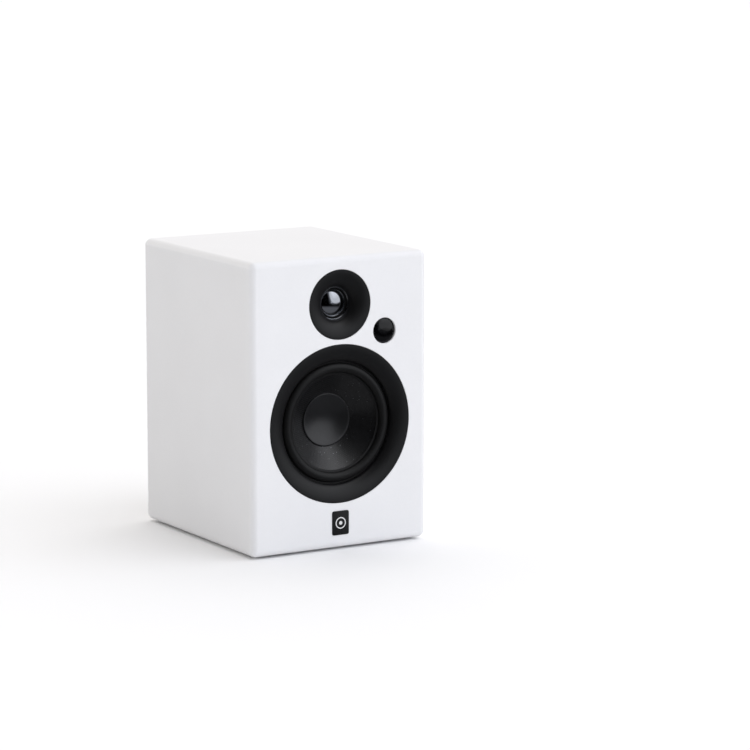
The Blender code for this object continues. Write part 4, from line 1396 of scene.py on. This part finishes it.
@dataclass
class BindingPost:
    """One screw terminal: a bored gold post, the bush in the cap, and the ribbed cap."""

    colour: str
    finish: Finish
    slot: str
    body: Body
    tip: float = -17.4
    reach: float = -20.0
    ribs: int = 20

    def build(self) -> None:
        """Builds and dresses the post, the bush and the cap."""
        seat = rear_seat(f"post_base_{self.colour}")
        post = rounded(
            [
                (0.0, -5.0, 0.0),
                (2.05, -5.0, 0.0),
                (2.05, self.tip, 0.3),
                (3.0, self.tip, 0.3),
                (3.0, -4.2, 0.1),
                (6.2, -4.2, 0.5),
                (6.2, -0.3, 0.2),
                (4.0, -0.3, 0.0),
                (4.0, 8.0, 0.2),
                (2.0, 8.0, 0.0),
                (2.0, 15.0, 0.3),
                (0.0, 15.0, 0.0),
            ],
            False,
        )
        stud = turned(f"terminal_stud_{self.colour}", post, seat, PLAIN)
        settle(stud, GOLD, replaced=[f"post_base_{self.colour}"])
        bush = tube(4.0, 3.09, -12.5, -5.0, (0.2, 0.2, 0.1, 0.1))
        sleeve = turned(f"terminal_bush_{self.colour}", bush, seat, PLAIN)
        settle(sleeve, GOLD, self.body, [f"post_bush_{self.colour}"])
        corners = [
            (5.0, self.reach, 0.5),
            (5.6, self.reach + 1.2, 0.3),
            (5.6, -4.6, 0.3),
            (4.3, -4.6, 0.2),
            (4.3, self.tip - 0.5, 0.1),
            (2.5, self.tip - 0.5, 0.1),
            (2.5, self.reach, 0.5),
        ]
        cap = turned(f"terminal_cap_{self.colour}", rounded(corners), seat, 2 * self.ribs)
        ribbed(cap, seat, self.ribs, 0.35, (self.reach + 1.6, -5.0))
        settle(cap, self.finish, self.body, [f"post_cap_{self.colour}"])


@dataclass
class HiddenParts:
    """The solids that keep their own shape: each finish, and the names of the nodes that have it."""

    finishes: tuple[tuple[Finish, str], ...] = (
        (BLACK_STEEL, "woofer_basket woofer_screw_1 woofer_screw_2 woofer_screw_3 woofer_screw_4"),
        (ZINC, "woofer_top_plate woofer_yoke tweeter_top_plate tweeter_yoke tweeter_magnet"),
        (ZINC, "volume_shaft volume_encoder"),
        (FERRITE, "woofer_magnet"),
        (WINDING, "woofer_voice_coil tweeter_voice_coil mains_transformer"),
        (WADDING, "damping_liner"),
        (RAW_BOARD, "window_brace"),
        (SOLDER_MASK, "amp_board receiver_board"),
        (EXTRUSION, "heat_sink"),
        (SHEATH, "woofer_wire tweeter_wire"),
    )

    def build(self) -> None:
        """Gives each solid its finish."""
        for finish, names in self.finishes:
            for name in names.split():
                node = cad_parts[name]
                node.data.materials.clear()
                node.data.materials.append(finish.material())
                LOG.info("%s: %s", name, finish.name)


# Studio ---------------------------------------------------------------------------------------------------


@dataclass
class Wash:
    """Even light on everything that faces one way, soft because it comes from a broad patch of the room."""

    name: str
    azimuth: float
    elevation: float
    spread: float
    strength: float

    def build(self) -> None:
        """Adds the wash. Its azimuth is counted from the front, to the right."""
        bpy.ops.object.light_add(type="SUN", location=(0, 0, 3))
        light = bpy.context.active_object
        light.name = self.name
        light.data.energy = self.strength
        light.data.angle = math.radians(self.spread)
        a, e = math.radians(self.azimuth), math.radians(self.elevation)
        source = Vector((math.sin(a) * math.cos(e), -math.cos(a) * math.cos(e), math.sin(e)))
        light.rotation_mode = "QUATERNION"
        light.rotation_quaternion = (-source).to_track_quat("-Z", "Y")


# The axes along which something fades in, each with the values at which it starts and is complete.
Limits = tuple[tuple[str, float, float], ...]


@dataclass(frozen=True)
class Patch:
    """A lighter part of what glossy parts reflect: its name, its strength and where it fades in."""

    name: str
    strength: float
    limits: Limits


@dataclass
class Studio:
    """Floor, lights, surroundings and camera."""

    lens: float = 163.82
    sensor: float = 36.0
    azimuth: float = -31.2084
    elevation: float = 9.6534
    offset: tuple[float, float, float] = (-0.0329, 0.02666, 3.229)
    floor: float = 80.0
    left_wall: float = 0.24
    right_wall: float = 1.68
    backdrop: float = 1.03
    room: Point = (0.01, 1.00)
    room_tilt: Corner = (0.3, -0.45, 0.85)
    room_start: float = 0.3
    room_side: Limits = (("X", 0.0, 0.42),)
    patches: tuple[Patch, ...] = (
        Patch("window", 0.52, (("X", 0.16, 0.22), ("Y", -0.28, -0.34), ("Z", -0.15, -0.09))),
        Patch("backdrop", 1.03, (("Y", 0.35, 0.65), ("Z", -0.05, 0.10))),
        Patch("floor", 0.14, (("Z", -0.30, -0.45),)),
    )
    warm: str = "#FFF9F1"
    cool: str = "#F1F5FF"
    cool_side: Corner = (0.4, -0.9, 0.0)
    washes: list[Wash] = field(
        default_factory=lambda: [
            Wash("ceiling_wash", 60, 78, 60, 0.36),
            Wash("side_wash", -120, 8, 50, 0.70),
            Wash("front_wash", 40, 20, 60, 0.28),
        ]
    )

    def build(self) -> None:
        """Sets the floor, the lights and the camera."""
        self.build_floor()
        for wash in self.washes:
            wash.build()
        self.build_surroundings()
        self.build_camera()
        bpy.context.scene.view_settings.view_transform = "Standard"

    def build_floor(self) -> None:
        """A wide sheet of pale paper."""
        bpy.ops.mesh.primitive_plane_add(size=self.floor, location=(0, 0, 0))
        floor = claim("studio_floor")
        floor.data.materials.append(PAPER.material())
        # The floor lights the speaker but stays out of its glossy parts, where it would veil the blacks.
        floor.visible_glossy = False

    def build_surroundings(self) -> None:
        """A white backdrop, walls that are lighter on the right, and what the glossy parts reflect."""
        world = bpy.data.worlds.new("studio_surroundings")
        bpy.context.scene.world = world
        world.use_nodes = True
        tree = world.node_tree
        ray = add_node(tree, "LightPath").outputs
        direction = add_node(tree, "TexCoord").outputs["Generated"]
        towards = add_node(tree, "SeparateXYZ", links={0: direction}).outputs
        walls = add_node(
            tree,
            "MapRange",
            {"From Min": -1.0, "To Min": self.left_wall, "To Max": self.right_wall},
            {"Value": towards["X"]},
        )
        lit = add_node(
            tree,
            "Mix",
            {"data_type": "FLOAT"},
            {
                0: ray["Is Glossy Ray"],
                2: walls.outputs["Result"],
                3: self.reflected(tree, direction, towards),
            },
        )
        strength = add_node(
            tree,
            "Mix",
            {"data_type": "FLOAT", 3: self.backdrop},
            {0: ray["Is Camera Ray"], 2: lit.outputs[0]},
        )
        ahead = add_node(tree, "VectorMath", {"operation": "DOT_PRODUCT", 1: self.cool_side}, {0: direction})
        side = add_node(tree, "MapRange", {"From Min": -1.0}, {"Value": ahead.outputs["Value"]})
        tint = add_node(
            tree,
            "Mix",
            {"data_type": "RGBA", 6: linear(self.warm), 7: linear(self.cool)},
            {0: side.outputs["Result"]},
        )
        colour = add_node(
            tree,
            "Mix",
            {"data_type": "RGBA", 7: (1.0, 1.0, 1.0, 1.0)},
            {0: ray["Is Camera Ray"], 6: tint.outputs[2]},
        )
        background = tree.nodes["Background"]
        tree.links.new(colour.outputs[2], background.inputs["Color"])
        tree.links.new(strength.outputs[0], background.inputs["Strength"])

    def reflected(self, tree: Tree, direction: Socket, towards: bpy.types.bpy_prop_collection) -> Socket:
        """What glossy parts see: a dim room, lighter above and to the right, a window, backdrop and floor.

        Args:
            tree: The world's tree.
            direction: The direction that a ray leaves in.
            towards: The same, as its X, Y and Z.

        Returns:
            The room's strength in that direction.
        """
        slope = add_node(tree, "VectorMath", {"operation": "DOT_PRODUCT", 1: self.room_tilt}, {0: direction})
        room = add_node(
            tree,
            "MapRange",
            {"From Min": self.room_start, "To Min": self.room[0], "To Max": self.room[1]},
            {"Value": slope.outputs["Value"]},
        )
        right = self.fade(tree, towards, self.room_side)
        seen = add_node(
            tree, "Math", {"operation": "MULTIPLY"}, {0: room.outputs["Result"], 1: right}
        ).outputs[0]
        for patch in self.patches:
            mask = self.fade(tree, towards, patch.limits)
            shape = add_node(tree, "Math", {"operation": "MULTIPLY", 1: patch.strength}, {0: mask})
            lighter = add_node(tree, "Math", {"operation": "MAXIMUM"}, {0: seen, 1: shape.outputs[0]})
            seen = lighter.outputs[0]
        return seen

    def fade(self, tree: Tree, towards: bpy.types.bpy_prop_collection, limits: Limits) -> Socket:
        """A mask that is 1 only where the direction is past the second limit on every axis named."""
        mask = None
        for axis, start, end in limits:
            step = add_node(
                tree, "MapRange", {"From Min": start, "From Max": end}, {"Value": towards[axis]}
            ).outputs["Result"]
            if mask is None:
                mask = step
                continue
            mask = add_node(tree, "Math", {"operation": "MULTIPLY"}, {0: mask, 1: step}).outputs[0]
        return mask

    def build_camera(self) -> None:
        """A long lens, a little above the speaker and to its left."""
        a, e = math.radians(self.azimuth), math.radians(self.elevation)
        right = Vector((math.cos(a), math.sin(a), 0))
        up = Vector((-math.sin(a) * math.sin(e), math.cos(a) * math.sin(e), math.cos(e)))
        back = Vector((math.sin(a) * math.cos(e), -math.cos(a) * math.cos(e), math.sin(e)))
        low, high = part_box("front_baffle")
        face = Vector(((low.x + high.x) / 2, low.y, (low.z + high.z) / 2))
        across, above, away = self.offset
        bpy.ops.object.camera_add(location=face - right * across + up * above + back * away)
        camera = bpy.context.active_object
        camera.name = "studio_camera"
        camera.data.lens, camera.data.sensor_width = self.lens, self.sensor
        camera.rotation_mode = "QUATERNION"
        camera.rotation_quaternion = Matrix((right, up, back)).transposed().to_quaternion()
        bpy.context.scene.camera = camera


def main() -> None:
    """Builds the speaker from its sub-assemblies, then the studio."""
    logging.basicConfig(level=logging.INFO, format="%(message)s")
    parts = [
        Cabinet(),
        Woofer(),
        Tweeter(),
        FrontTrim(),
        BassPort(),
        AmplifierPlate(),
        Controls(),
        Sockets(),
        BindingPost("red", RED_ABS, "red_plastic", Body.RED_CAP),
        BindingPost("black", BLACK_NYLON, "black_plastic", Body.BLACK_CAP),
        HiddenParts(),
        Studio(),
    ]
    for part in parts:
        part.build()


if __name__ == "__main__":
    main()
